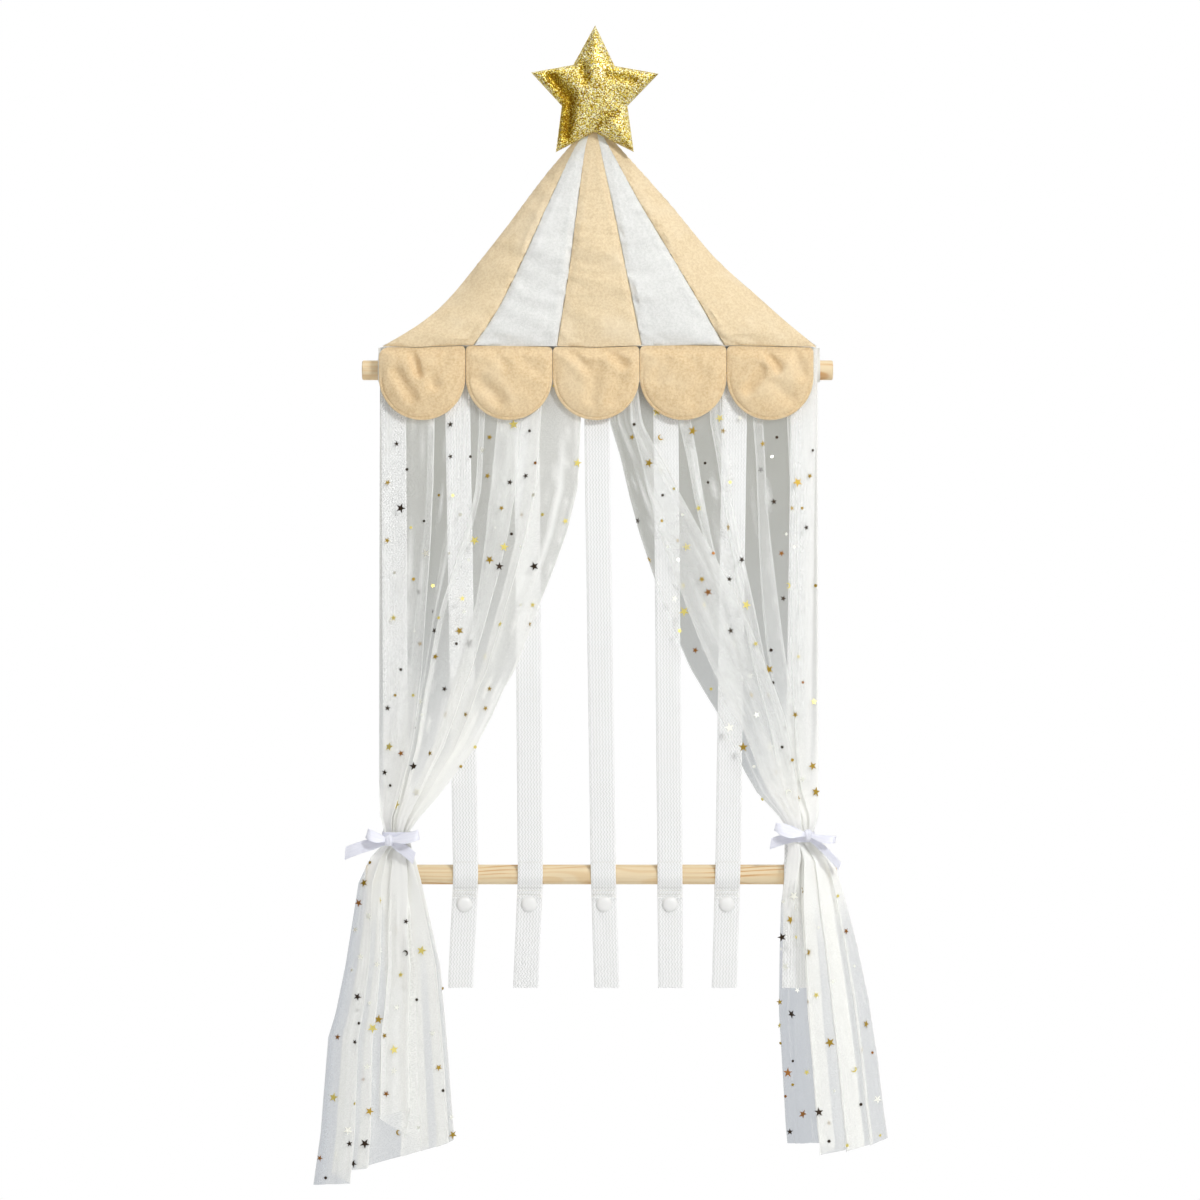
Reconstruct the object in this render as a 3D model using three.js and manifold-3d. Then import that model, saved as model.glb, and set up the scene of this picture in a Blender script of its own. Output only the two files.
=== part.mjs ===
// A wall-hung tent crown: a stuffed striped roof with a star and a scalloped valance, two tied-back
// sheer curtains, and seven webbing straps held between two dowels for hanging hair bows and clips.
// Millimetres. +X is to the right, +Z up, and the front faces -Y. The origin is the point that hangs
// on the wall hook: the inner top of the tape loop behind the star.

import * as THREE from "three";
import { mergeVertices } from "three/addons/utils/BufferGeometryUtils.js";
import Module from "manifold-3d";

const wasm = await Module();
wasm.setup();

const { cos, hypot, max, min, PI, sign, sin, sqrt } = Math;
const { lerp, smoothstep, degToRad } = THREE.MathUtils;

// What lies on or in something else keeps this much room
const gap = 0.3;

// Hanging loop of tape
const loopEyeRadius = 7;
const tapeWidth = 7.6;
const tapeThickness = 1.2;
const wallClearance = 0.2;

// Dowels and the sleeve that holds the upper one
const rodDiameter = 15.8;
const rodLength = 377;
const rodChamfer = 0.8;
const rodBelowRoof = 18.3;
const rodSpacing = 404.1;
const upperRodShift = 2;
const lowerRodShift = 5;
const sleeveClearance = 0.6;
const sleeveWall = 1.2;
const sleeveLength = 353.6;
const sleeveShift = 3.2;

// Stuffed star
const starRadius = 56;
const starNotchRadius = 28.4;
const starWidthShare = 0.95;
const starDrop = 12.2;
const starFrontPuff = 12;
const starBackPuff = 6;
const starSkin = 0.9;
const starPuffPowerShare = 1.8;
const starFillShare = 0.9;

// Stuffed roof: lines of the two edges and the four seams, from the apex to the base
const apexDrop = 29.6;
const apexShift = -1.2;
const roofHeight = 184;
const roofHalfWidth = 173;
const goreSkin = 1.6;
const gorePuff = 2.4;
const backSkin = 1.2;
const roofBelly = 2.5;
const apexFront = 8.7;
const sideSeamDepth = 4.2;
const paddingClearance = 0.7;
const roofRowShares = [0.06, 0.12, 0.25, 0.4, 0.55, 0.68, 0.78, 0.86, 0.92, 0.955, 0.98, 1];
const roofLineShares = [
  {
    foot: -0.981,
    run: [[0, 0], [0.25, 0.235], [0.47, 0.413], [0.7, 0.611], [0.83, 0.726], [0.92, 0.844], [1, 1]],
  },
  { foot: -0.56, run: [[0, 0], [0.13, 0.163], [0.38, 0.383], [0.62, 0.588], [0.84, 0.794], [1, 1]] },
  { foot: -0.175, run: [[0, 0], [0.11, 0.215], [0.37, 0.436], [0.65, 0.653], [1, 1]] },
  { foot: 0.215, run: [[0, 0], [0.37, 0.39], [0.63, 0.643], [1, 1]] },
  { foot: 0.597, run: [[0, 0], [0.38, 0.358], [0.67, 0.666], [1, 1]] },
  { foot: 1.021, run: [[0, 0], [0.37, 0.345], [0.62, 0.556], [0.77, 0.736], [0.9, 0.872], [1, 1]] },
];

// Valance scallops
const scallopCount = 5;
const scallopPitch = 69.4;
const scallopSpacing = 0.6;
const scallopHeight = 58.3;
const scallopEdge = 1.6;
const scallopPuff = 2.6;
const scallopShift = 0.9;
const scallopSeam = 0.6;

// Webbing straps: where each one lies at the sleeve, at the lower dowel and at the end of its tail
const strapWidth = 20;
const strapThickness = 1.4;
const strapPitch = 55;
const tailDrop = 90.4;
const strapTopShares = [-2.93, -2.01, -1, 0.01, 1.02, 2.04, 3.04];
const strapRodShares = [-2.89, -1.88, -0.94, 0.12, 1.09, 1.93, 2.93];
const strapTailShares = [-2.88, -1.96, -1.01, 0.17, 1.1, 1.88, 2.9];

// Back loop of each strap, and the press stud that closes it
const seamRise = 12;
const wrapClearance = 0.4;
const wrapFront = 112;
const wrapEnd = -35;
const snapDrop = 23.2;
const snapSetback = 5;
const tabTail = 8;
const capRadius = 6.2;
const capHeight = 2.7;
const capRim = 0.7;
const postRadius = 1.6;
const studFlange = 3.6;
const studFlangeThickness = 0.5;
const studHead = 2.4;
const studReach = 2.3;
const socketRadius = 4.8;
const socketRise = 2.1;
const socketFloor = 0.6;
const socketCap = 5.6;
const socketCapHeight = 2.2;

// Curtains: header and drape measured inwards from the outer edge, skirt measured from the tie
const headerFold = 0.9;
const tulleThickness = 1.2;
const foldCount = 5;
const foldSteps = 6;
const foldDepth = 9;
const tieRise = 31.2;
const bundleHalfWidth = 10;
const bundleDepth = 12;
const skirtFront = 0.9;
const bundleEndShare = 0.92;
const leftEdge = 171.6;
const leftWidth = 161;
const leftTie = 157.5;
const leftSkirtWidth = 113;
const leftSkirtDrop = 278;
const rightEdge = 177.6;
const rightWidth = 167;
const rightTie = 164.5;
const rightSkirtWidth = 81.3;
const rightSkirtDrop = 254.6;
// Each row: how far down, how far the inner edge reaches (left, right), fold depth, how gathered
const drapeShares = [
  [0, 1, 1, 0, 0],
  [0.075, 1, 1, 0, 0],
  [0.15, 1, 1, 0, 0],
  [0.26, 0.99, 0.928, 0.33, 0],
  [0.37, 0.935, 0.862, 0.5, 0],
  [0.47, 0.85, 0.787, 0.6, 0],
  [0.565, 0.76, 0.704, 0.67, 0],
  [0.66, 0.67, 0.608, 0.7, 0],
  [0.755, 0.556, 0.47, 0.75, 0],
  [0.825, 0.466, 0.395, 0.75, 0.1],
  [0.89, 0.342, 0.32, 0.7, 0.3],
  [0.95, 0.217, 0.198, 0.55, 0.7],
];
// Each row: how far down, reach outwards (left, right), reach inwards (left, right), fold depth, gathered
const skirtShares = [
  [0.06, 0.19, 0.209, 0.124, 0.11, 0.45, 0.75],
  [0.15, 0.283, 0.381, 0.186, 0.178, 0.65, 0.3],
  [0.3, 0.34, 0.529, 0.274, 0.213, 0.85, 0],
  [0.5, 0.434, 0.668, 0.336, 0.223, 1, 0],
  [0.75, 0.525, 0.78, 0.376, 0.185, 1, 0],
  [1, 0.598, 0.86, 0.402, 0.14, 0.9, 0],
];
// The hem of each skirt, from the outer edge to the inner one
const hemShares = {
  left: [[0, 1], [0.31, 0.99], [0.34, 0.953], [0.7, 0.92], [0.8, 0.92], [1, 0.869]],
  right: [[0, 0.945], [0.25, 0.973], [0.62, 1], [0.69, 0.956], [0.88, 0.966], [1, 0.96]],
};

// Ribbon ties and bows, and how far each knot sits outwards of its tie and above it
const ribbonWidth = 9;
const ribbonThickness = 0.9;
const knotHalfWidth = 5;
const knotHalfHeight = 5.5;
const knotDepth = 4.6;
const knotPuff = 1.2;
const bowLoopDepth = 4;
const leftKnotOut = 6.5;
const leftKnotRise = -2.4;
const rightKnotOut = 4.9;
const rightKnotRise = 1.9;
// Tips of the loops and tails in ribbon widths from the knot
const bowTipShares = {
  left: {
    loops: { outer: [-1.91, 0.67], inner: [2.67, 0.53] },
    tails: [[-3.87, -1.02], [2.24, -1.47]],
  },
  right: {
    loops: { outer: [2.42, -0.39], inner: [-2.91, 0.86] },
    tails: [[-3.31, -0.66], [2.82, -2.66]],
  },
};

// Depths, from the wall to the front
const wall = tapeWidth / 2 + wallClearance;
const rodRadius = rodDiameter / 2;
const sleeveRadius = rodRadius + sleeveClearance + sleeveWall;
const rodDepth = wall - sleeveRadius;
const strapTopDepth = rodDepth - sleeveRadius - gap - strapThickness / 2;
const strapFront = strapTopDepth - strapThickness / 2;
const headerBack = strapFront - gap;
const headerFront = headerBack - headerFold * 2 - tulleThickness;
const scallopDepth = headerFront - gap - scallopEdge / 2 - scallopSeam;
const strapRodDepth = rodDepth - rodRadius - gap - strapThickness / 2;
const strapSnapDepth = rodDepth - snapSetback;
// The star lies against the tape of the hanging loop
const starDepth = -tapeWidth / 2 - gap - starBackPuff - starSkin - gap / 2;

// Heights
const roofBase = -apexDrop - roofHeight;
const upperRodHeight = roofBase - rodBelowRoof;
const lowerRodHeight = upperRodHeight - rodSpacing;
const snapHeight = lowerRodHeight - snapDrop;
const tieHeight = lowerRodHeight + tieRise;
const hangersTop = roofBase - gap;
const scallopTop = roofBase - scallopSeam;

const fabric = (color, roughness = 0.95) =>
  new THREE.MeshStandardMaterial({ color, roughness, metalness: 0 });
const beigePlush = fabric(0xecd4a8);
const whitePlush = fabric(0xf2f2ee);
const glitter = new THREE.MeshStandardMaterial({ color: 0xc9ab52, roughness: 0.45, metalness: 0.6 });
const stuffing = fabric(0xf4f4f2);
const backCloth = fabric(0xf0efea);
const webbing = fabric(0xf0f0ee);
const tulle = fabric(0xe4e4e0);
const satin = fabric(0xe4e6f6, 0.4);
const pine = new THREE.MeshStandardMaterial({ color: 0xe6cba0, roughness: 0.6, metalness: 0 });
const snapPlastic = new THREE.MeshStandardMaterial({ color: 0xf1f1ef, roughness: 0.5, metalness: 0 });

const crown = new THREE.Group();

function addPiece(name, geometry, material, place = new THREE.Vector3()) {
  const mesh = new THREE.Mesh(geometry, material);
  mesh.name = name;
  mesh.position.copy(place);
  crown.add(mesh);
  return mesh;
}

const at = (x, y, z) => new THREE.Vector3(x, y, z);

// Reads a hand-chosen run of shares, straight between its points
function shareAt(run, t) {
  const next = run.findIndex(([place]) => place >= t);
  if (next === 0) return run[0][1];
  if (next < 0) return run[run.length - 1][1];
  const [from, to] = [run[next - 1], run[next]];
  return lerp(from[1], to[1], (t - from[0]) / (to[0] - from[0]));
}

// A closed body from points and triangles, with its faces turned outwards
function closedBody(points, faces) {
  let volume = 0;
  for (let i = 0; i < faces.length; i += 3) {
    const [a, b, c] = [points[faces[i]], points[faces[i + 1]], points[faces[i + 2]]];
    volume += a.dot(b.clone().cross(c));
  }
  const turned = volume < 0 ? faces.toReversed() : faces;
  const geometry = new THREE.BufferGeometry().setFromPoints(points);
  geometry.setIndex(turned);
  geometry.computeVertexNormals();
  return geometry;
}

function welded(geometry) {
  const bare = geometry.clone();
  bare.deleteAttribute("normal");
  bare.deleteAttribute("uv");
  return mergeVertices(bare);
}

// The same for a shape from one of the geometry classes
function closedShape(geometry) {
  const merged = welded(geometry);
  const place = merged.attributes.position;
  const points = Array.from({ length: place.count }, (_, i) =>
    new THREE.Vector3().fromBufferAttribute(place, i),
  );
  return closedBody(points, Array.from(merged.index.array));
}

// A sheet with a thickness: front and back give a point for a share across and a row number
function sheetBetween(columns, rows, front, back) {
  const points = [];
  for (const surface of [front, back]) {
    for (let row = 0; row <= rows; row += 1) {
      for (let column = 0; column <= columns; column += 1) {
        points.push(surface(column / columns, row));
      }
    }
  }
  const layer = (columns + 1) * (rows + 1);
  const index = (side, row, column) => side * layer + row * (columns + 1) + column;
  const faces = [];
  const quad = (a, b, c, d) => faces.push(a, b, c, a, c, d);
  for (let row = 0; row < rows; row += 1) {
    for (let column = 0; column < columns; column += 1) {
      const [right, down] = [column + 1, row + 1];
      quad(index(0, row, column), index(0, row, right), index(0, down, right), index(0, down, column));
      quad(index(1, row, right), index(1, row, column), index(1, down, column), index(1, down, right));
    }
    quad(index(1, row, 0), index(0, row, 0), index(0, row + 1, 0), index(1, row + 1, 0));
    quad(
      index(0, row, columns),
      index(1, row, columns),
      index(1, row + 1, columns),
      index(0, row + 1, columns),
    );
  }
  for (let column = 0; column < columns; column += 1) {
    const right = column + 1;
    quad(index(1, 0, column), index(1, 0, right), index(0, 0, right), index(0, 0, column));
    quad(index(0, rows, column), index(0, rows, right), index(1, rows, right), index(1, rows, column));
  }
  return closedBody(points, faces);
}

// A puffed pad: rings of the outline shrink to its middle, at depths that depend on the ring's share.
// The outline is a list of points across and up.
function puffedPad(outline, middle, rings, front, back) {
  const points = [];
  for (const depth of [front, back]) {
    points.push(at(middle.x, depth(0), middle.y));
    for (let ring = 1; ring <= rings; ring += 1) {
      const share = ring / rings;
      for (const corner of outline) {
        const spot = middle.clone().lerp(corner, share);
        points.push(at(spot.x, depth(share), spot.y));
      }
    }
  }
  const count = outline.length;
  const layer = 1 + rings * count;
  const index = (side, ring, i) => side * layer + 1 + (ring - 1) * count + (i % count);
  const faces = [];
  const quad = (a, b, c, d) => faces.push(a, b, c, a, c, d);
  for (let i = 0; i < count; i += 1) {
    faces.push(0, index(0, 1, i), index(0, 1, i + 1));
    faces.push(layer, index(1, 1, i + 1), index(1, 1, i));
    for (let ring = 1; ring < rings; ring += 1) {
      quad(index(0, ring, i), index(0, ring + 1, i), index(0, ring + 1, i + 1), index(0, ring, i + 1));
      quad(index(1, ring, i + 1), index(1, ring + 1, i + 1), index(1, ring + 1, i), index(1, ring, i));
    }
    quad(index(0, rings, i), index(1, rings, i), index(1, rings, i + 1), index(0, rings, i + 1));
  }
  return closedBody(points, faces);
}

// A flat band that follows a path: place turns a point of the path and a distance across into a point
function bandAlong(path, width, thickness, place) {
  const side = (sideways) => (across, row) => {
    const before = path[max(row - 1, 0)];
    const after = path[min(row + 1, path.length - 1)];
    const along = after.clone().sub(before).normalize();
    const spot = path[row].clone().add(new THREE.Vector2(-along.y, along.x).multiplyScalar(sideways));
    return place(spot, (across - 0.5) * width);
  };
  return sheetBetween(1, path.length - 1, side(thickness / 2), side(-thickness / 2));
}

function asSolid(geometry) {
  const merged = welded(geometry);
  const vertProperties = Float32Array.from(merged.attributes.position.array);
  const triVerts = Uint32Array.from(merged.index.array);
  return new wasm.Manifold(new wasm.Mesh({ numProp: 3, vertProperties, triVerts }));
}

// Cuts a round hole along Y
function pierced(geometry, centre, radius, reach) {
  const tool = new THREE.CylinderGeometry(radius, radius, reach * 2, 12);
  tool.translate(centre.x, centre.y, centre.z);
  const cut = asSolid(geometry).subtract(asSolid(tool)).getMesh();
  const result = new THREE.BufferGeometry();
  const places = Float32Array.from(cut.vertProperties);
  result.setAttribute("position", new THREE.BufferAttribute(places, cut.numProp));
  result.setIndex(Array.from(cut.triVerts));
  result.computeVertexNormals();
  return result;
}

// A turned piece round the Y axis, from [radius, depth] pairs that start and end on the axis
function turnedPiece(profile, steps) {
  const points = profile.map(([radius, depth]) => new THREE.Vector2(radius, depth));
  return closedShape(new THREE.LatheGeometry(points, steps));
}

function addStar() {
  const outline = [];
  const tips = 5;
  for (let i = 0; i < tips * 2; i += 1) {
    const corner = (turn) => {
      const radius = turn % 2 === 0 ? starRadius : starNotchRadius;
      const angle = PI / 2 + (turn * PI) / tips;
      return new THREE.Vector2(radius * cos(angle) * starWidthShare, radius * sin(angle));
    };
    outline.push(corner(i), corner(i).lerp(corner(i + 1), 0.5));
  }
  const middle = new THREE.Vector2();
  const place = at(0, starDepth, -starDrop);
  const swell = (share) => 1 - share ** starPuffPowerShare;
  const fill = outline.map((corner) => corner.clone().multiplyScalar(starFillShare));
  const rings = 4;

  const panel = (facing, puff) => {
    const outer = (share) => facing * (gap / 2 + starSkin + puff * swell(share));
    return puffedPad(outline, middle, rings, outer, (share) => outer(share) - facing * starSkin);
  };
  addPiece("star_front", panel(-1, starFrontPuff), glitter, place);
  addPiece("star_back", panel(1, starBackPuff), glitter, place);
  const inside = (facing, puff) => (share) => facing * (puff * swell(share * starFillShare) - gap);
  const filling = puffedPad(fill, middle, rings - 1, inside(-1, starFrontPuff), inside(1, starBackPuff));
  addPiece("star_filling", filling, stuffing, place);
}

// Roof surfaces. Every one is read by a share down from the apex and a place across.
const roofLine = (line, down) => {
  const { foot, run } = roofLineShares[line];
  const footX = foot * roofHalfWidth;
  return apexShift + (footX - apexShift) * shareAt(run, down);
};
const lastLine = roofLineShares.length - 1;
const roofTopShare = roofRowShares[0];
const lastRoofRow = roofRowShares.length - 1;
// Columns across the whole roof, closer together towards its two edges
const easedAcross = (across) => 0.5 - 0.5 * cos(PI * across);
const roofHeightAt = (down) => -apexDrop - roofHeight * down;
const seamDepth = (down) => lerp(wall - sideSeamDepth, scallopDepth, smoothstep(down, 0.7, 1));
const swellAcross = (x, down) => {
  const [left, right] = [roofLine(0, down), roofLine(lastLine, down)];
  const across = (2 * (x - left)) / (right - left) - 1;
  return max(0, 1 - across ** 4);
};
const roofFront = (x, down) => {
  const edge = seamDepth(down) - gap / 2 - goreSkin;
  const base = scallopDepth - gap / 2 - goreSkin;
  const middle = lerp(wall - apexFront, base, down ** 0.7) - roofBelly * sin(PI * down * down);
  return lerp(edge, middle, swellAcross(x, down));
};
const flatBackShare = 1.25;
const roofBack = (x, down) => {
  const edge = seamDepth(down) + gap / 2 + backSkin;
  return lerp(edge, wall, min(1, swellAcross(x, down) * flatBackShare));
};

function addGores() {
  const columns = 5;
  const fadeShare = 0.08;
  for (let gore = 0; gore < lastLine; gore += 1) {
    const surface = (depth) => (across, row) => {
      const down = roofRowShares[row];
      const left = roofLine(gore, down) + gap / 2;
      const right = roofLine(gore + 1, down) - gap / 2;
      const x = lerp(left, right, across);
      const fullness = min(1, (right - left) / scallopPitch) * min(1, (1 - down) / fadeShare);
      const puff = gorePuff * fullness * sin(PI * across);
      return at(x, roofFront(x, down) - puff + depth, roofHeightAt(down));
    };
    const material = gore % 2 === 0 ? beigePlush : whitePlush;
    const geometry = sheetBetween(columns, lastRoofRow, surface(0), surface(goreSkin));
    addPiece(`roof_gore_${gore + 1}`, geometry, material);
  }
}

// The back panel goes down the wall side and turns forward under the roof to the base seam
function addRoofBack() {
  const downRows = lastRoofRow - 1;
  const underShares = [0.2, 0.6, 1];
  const columns = 8;
  const x = (across, down) => {
    const [left, right] = [roofLine(0, down) + gap / 2, roofLine(lastLine, down) - gap / 2];
    return lerp(left, right, easedAcross(across));
  };
  const surface = (depth) => (across, row) => {
    if (row <= downRows) {
      const down = roofRowShares[row];
      const place = x(across, down);
      return at(place, roofBack(place, down) - depth, roofHeightAt(down));
    }
    const place = x(across, 1);
    const frontEnd = scallopDepth + gap / 2;
    const forward = lerp(roofBack(place, 1), frontEnd, underShares[row - downRows - 1]);
    const edgeRoom = depth * swellAcross(place, 1);
    return at(place, forward, roofBase + max(edgeRoom, depth / 2));
  };
  const rows = downRows + underShares.length;
  addPiece("roof_back_panel", sheetBetween(columns, rows, surface(0), surface(backSkin)), backCloth);
}

function addRoofPadding() {
  const [sideColumns, rows] = [8, lastRoofRow - 3];
  const columns = sideColumns - 2;
  const surface = (front) => (across, row) => {
    const down = roofRowShares[row + 1];
    const [left, right] = [roofLine(0, down), roofLine(lastLine, down)];
    const x = lerp(left, right, easedAcross((across * columns + 1) / sideColumns));
    const depth = front
      ? roofFront(x, down) + goreSkin + paddingClearance
      : roofBack(x, down) - backSkin - paddingClearance;
    return at(x, depth, roofHeightAt(down));
  };
  addPiece("roof_padding", sheetBetween(columns, rows, surface(true), surface(false)), stuffing);
}

// The tape goes up from the roof's apex, round the eye and down again
function addHangingLoop() {
  const radius = loopEyeRadius + tapeThickness / 2;
  const foot = roofHeightAt(roofTopShare) + gap;
  const legX = tapeThickness / 2 + gap / 2;
  const eye = -loopEyeRadius;
  const leaving = Math.asin(radius / (eye - foot));
  const path = [new THREE.Vector2(-legX, foot)];
  const turns = 10;
  for (let i = 0; i <= turns; i += 1) {
    const angle = lerp(PI + leaving, -leaving, i / turns);
    path.push(new THREE.Vector2(radius * cos(angle), eye + radius * sin(angle)));
  }
  path.push(new THREE.Vector2(legX, foot));
  const place = (spot, across) => at(spot.x, across, spot.y);
  addPiece("hanging_loop", bandAlong(path, tapeWidth, tapeThickness, place), webbing);
}

function addRod(name, shift, height) {
  const half = rodLength / 2;
  const profile = [
    [0, -half],
    [rodRadius - rodChamfer, -half],
    [rodRadius, rodChamfer - half],
    [rodRadius, half - rodChamfer],
    [rodRadius - rodChamfer, half],
    [0, half],
  ];
  const rod = addPiece(name, turnedPiece(profile, 32), pine, at(shift, rodDepth, height));
  rod.rotation.z = PI / 2;
}

// The casing is one strip folded round the dowel, its two plies sewn together into the base seam
function addSleeve() {
  const plies = sleeveWall;
  const rise = hangersTop - upperRodHeight;
  const spread = Math.asin(plies / sleeveRadius);
  const outline = new THREE.Shape();
  outline.moveTo(-plies, rise);
  outline.absarc(0, 0, sleeveRadius, PI / 2 + spread, PI / 2 - spread, false);
  outline.lineTo(plies, rise);
  outline.closePath();
  const bore = new THREE.Path().absarc(0, 0, rodRadius + sleeveClearance, 0, PI * 2, true);
  outline.holes.push(bore);
  const run = { depth: sleeveLength, bevelEnabled: false, curveSegments: 32 };
  const geometry = new THREE.ExtrudeGeometry(outline, run);
  // The shape's x and y become depth and height, and the extrusion runs along X
  geometry.applyMatrix4(new THREE.Matrix4().makeBasis(at(0, 1, 0), at(0, 0, 1), at(1, 0, 0)));
  const place = at(sleeveShift - sleeveLength / 2, rodDepth, upperRodHeight);
  addPiece("rod_sleeve", closedShape(geometry), backCloth, place);
}

function addScallops() {
  const half = (scallopPitch - scallopSpacing) / 2;
  const [topSteps, sideSteps, bottomSteps] = [4, 2, 12];
  const straight = scallopHeight - half;
  const outline = [];
  for (let i = 0; i < topSteps; i += 1) {
    outline.push(new THREE.Vector2(lerp(-half, half, i / topSteps), 0));
  }
  for (let i = 0; i < sideSteps; i += 1) {
    outline.push(new THREE.Vector2(half, -straight * (i / sideSteps)));
  }
  for (let i = 0; i <= bottomSteps; i += 1) {
    const angle = -PI * (i / bottomSteps);
    outline.push(new THREE.Vector2(half * cos(angle), -straight + half * sin(angle)));
  }
  outline.push(new THREE.Vector2(-half, -straight / 2));
  const middle = new THREE.Vector2(0, -scallopHeight / 2);
  const front = (share) => -scallopEdge / 2 - scallopPuff * (1 - share * share);
  for (let i = 0; i < scallopCount; i += 1) {
    const x = scallopShift + (i - (scallopCount - 1) / 2) * scallopPitch;
    const pad = puffedPad(outline, middle, 3, front, () => scallopEdge / 2);
    addPiece(`scallop_${i + 1}`, pad, beigePlush, at(x, scallopDepth, scallopTop));
  }
}

// Where a strap's centre line lies across the part, at a height
function strapAcross(strap, height) {
  const [top, rod, tail] = [strapTopShares, strapRodShares, strapTailShares].map(
    (row) => row[strap] * strapPitch,
  );
  if (height > lowerRodHeight) {
    return lerp(rod, top, (height - lowerRodHeight) / (hangersTop - lowerRodHeight));
  }
  return lerp(rod, tail, (lowerRodHeight - height) / tailDrop);
}

// A strap comes down from the base seam, over the front of the lower dowel, and in to the press stud
function addStrap(strap) {
  const path = [
    new THREE.Vector2(strapTopDepth, hangersTop),
    new THREE.Vector2(strapTopDepth, upperRodHeight - sleeveRadius),
    new THREE.Vector2(strapRodDepth, lowerRodHeight + rodDiameter),
    new THREE.Vector2(strapRodDepth, lowerRodHeight),
  ];
  const turnSteps = 6;
  const turnTop = lowerRodHeight - rodRadius / 4;
  const turnEnd = snapHeight + capRadius;
  for (let i = 1; i <= turnSteps; i += 1) {
    const share = i / turnSteps;
    const depth = lerp(strapRodDepth, strapSnapDepth, smoothstep(share, 0, 1));
    path.push(new THREE.Vector2(depth, lerp(turnTop, turnEnd, share)));
  }
  path.push(new THREE.Vector2(strapSnapDepth, snapHeight - capRadius));
  path.push(new THREE.Vector2(strapSnapDepth, lowerRodHeight - tailDrop));
  const place = (spot, across) => at(strapAcross(strap, spot.y) + across, spot.x, spot.y);
  const whole = bandAlong(path, strapWidth, strapThickness, place);
  const hole = at(strapAcross(strap, snapHeight), strapSnapDepth, snapHeight);
  addPiece(`strap_${strap + 1}`, pierced(whole, hole, postRadius + gap, strapThickness), webbing);
}

// The space that the stud and the socket take between the strap and the loop's tab
const studRoom = studReach + gap + socketFloor + gap;
const tabDepth = strapSnapDepth + strapThickness + studRoom;

// The back loop starts at the seam behind the strap, wraps the dowel from above and ends in the tab
function addStrapLoop(strap) {
  const wrap = rodRadius + gap + strapThickness / 2 + wrapClearance;
  const spot = (depth, height) => new THREE.Vector2(rodDepth + depth, lowerRodHeight + height);
  const seam = strapThickness / 2 - rodRadius;
  const path = [spot(seam, seamRise), spot(seam + wrapClearance, seamRise - strapThickness)];
  const wrapSteps = 9;
  for (let i = 0; i <= wrapSteps; i += 1) {
    const angle = degToRad(lerp(wrapFront, wrapEnd, i / wrapSteps));
    path.push(spot(wrap * cos(angle), wrap * sin(angle)));
  }
  path.push(new THREE.Vector2(tabDepth, snapHeight + capRadius));
  path.push(new THREE.Vector2(tabDepth, snapHeight - tabTail));
  const place = (point, across) => at(strapAcross(strap, point.y) + across, point.x, point.y);
  const whole = bandAlong(path, strapWidth, strapThickness, place);
  const hole = at(strapAcross(strap, snapHeight), tabDepth, snapHeight);
  addPiece(`strap_loop_${strap + 1}`, pierced(whole, hole, postRadius + gap, strapThickness), webbing);
}

const snapSides = 12;

// Cap, post and stud in one, measured from the strap's front face towards the wall
function addSnapCap(strap) {
  const flange = strapThickness + gap;
  const end = strapThickness + gap + studReach;
  const profile = [
    [0, -gap - capHeight],
    [capRadius * 0.5, -gap - capHeight * 0.9],
    [capRadius * 0.85, -gap - capHeight * 0.6],
    [capRadius, -gap - capRim],
    [capRadius, -gap],
    [postRadius, -gap],
    [postRadius, flange],
    [studFlange, flange],
    [studFlange, flange + studFlangeThickness],
    [postRadius, flange + studFlangeThickness],
    [studHead, lerp(flange, end, 0.75)],
    [postRadius, end],
    [0, end],
  ];
  const front = strapSnapDepth - strapThickness / 2;
  const place = at(strapAcross(strap, snapHeight), front, snapHeight);
  addPiece(`snap_cap_${strap + 1}`, turnedPiece(profile, snapSides), snapPlastic, place);
}

// Socket ring, post and back cap in one, measured from the tab's front face towards the wall
function addSnapSocket(strap) {
  const mouth = -gap - socketFloor;
  const backFace = strapThickness + gap;
  const profile = [
    [0, mouth],
    [studHead + gap, mouth],
    [studHead + gap, mouth - socketRise + socketFloor],
    [socketRadius, mouth - socketRise + socketFloor],
    [socketRadius, -gap],
    [postRadius, -gap],
    [postRadius, backFace],
    [socketCap, backFace],
    [socketCap * 0.85, backFace + socketCapHeight * 0.6],
    [0, backFace + socketCapHeight],
  ];
  const place = at(strapAcross(strap, snapHeight), tabDepth - strapThickness / 2, snapHeight);
  addPiece(`snap_socket_${strap + 1}`, turnedPiece(profile, snapSides), snapPlastic, place);
}

// The band of each tie spans this much above and below the tie's height
const tieHalf = ribbonWidth / 2 + gap;
const strapTieDepth = lerp(
  strapRodDepth,
  strapTopDepth,
  (tieHeight - lowerRodHeight - rodDiameter) /
    (upperRodHeight - sleeveRadius - lowerRodHeight - rodDiameter),
);
const bundleBack = strapTieDepth - strapThickness / 2 - gap;
const bundleMiddle = bundleBack - bundleDepth / 2;

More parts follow.
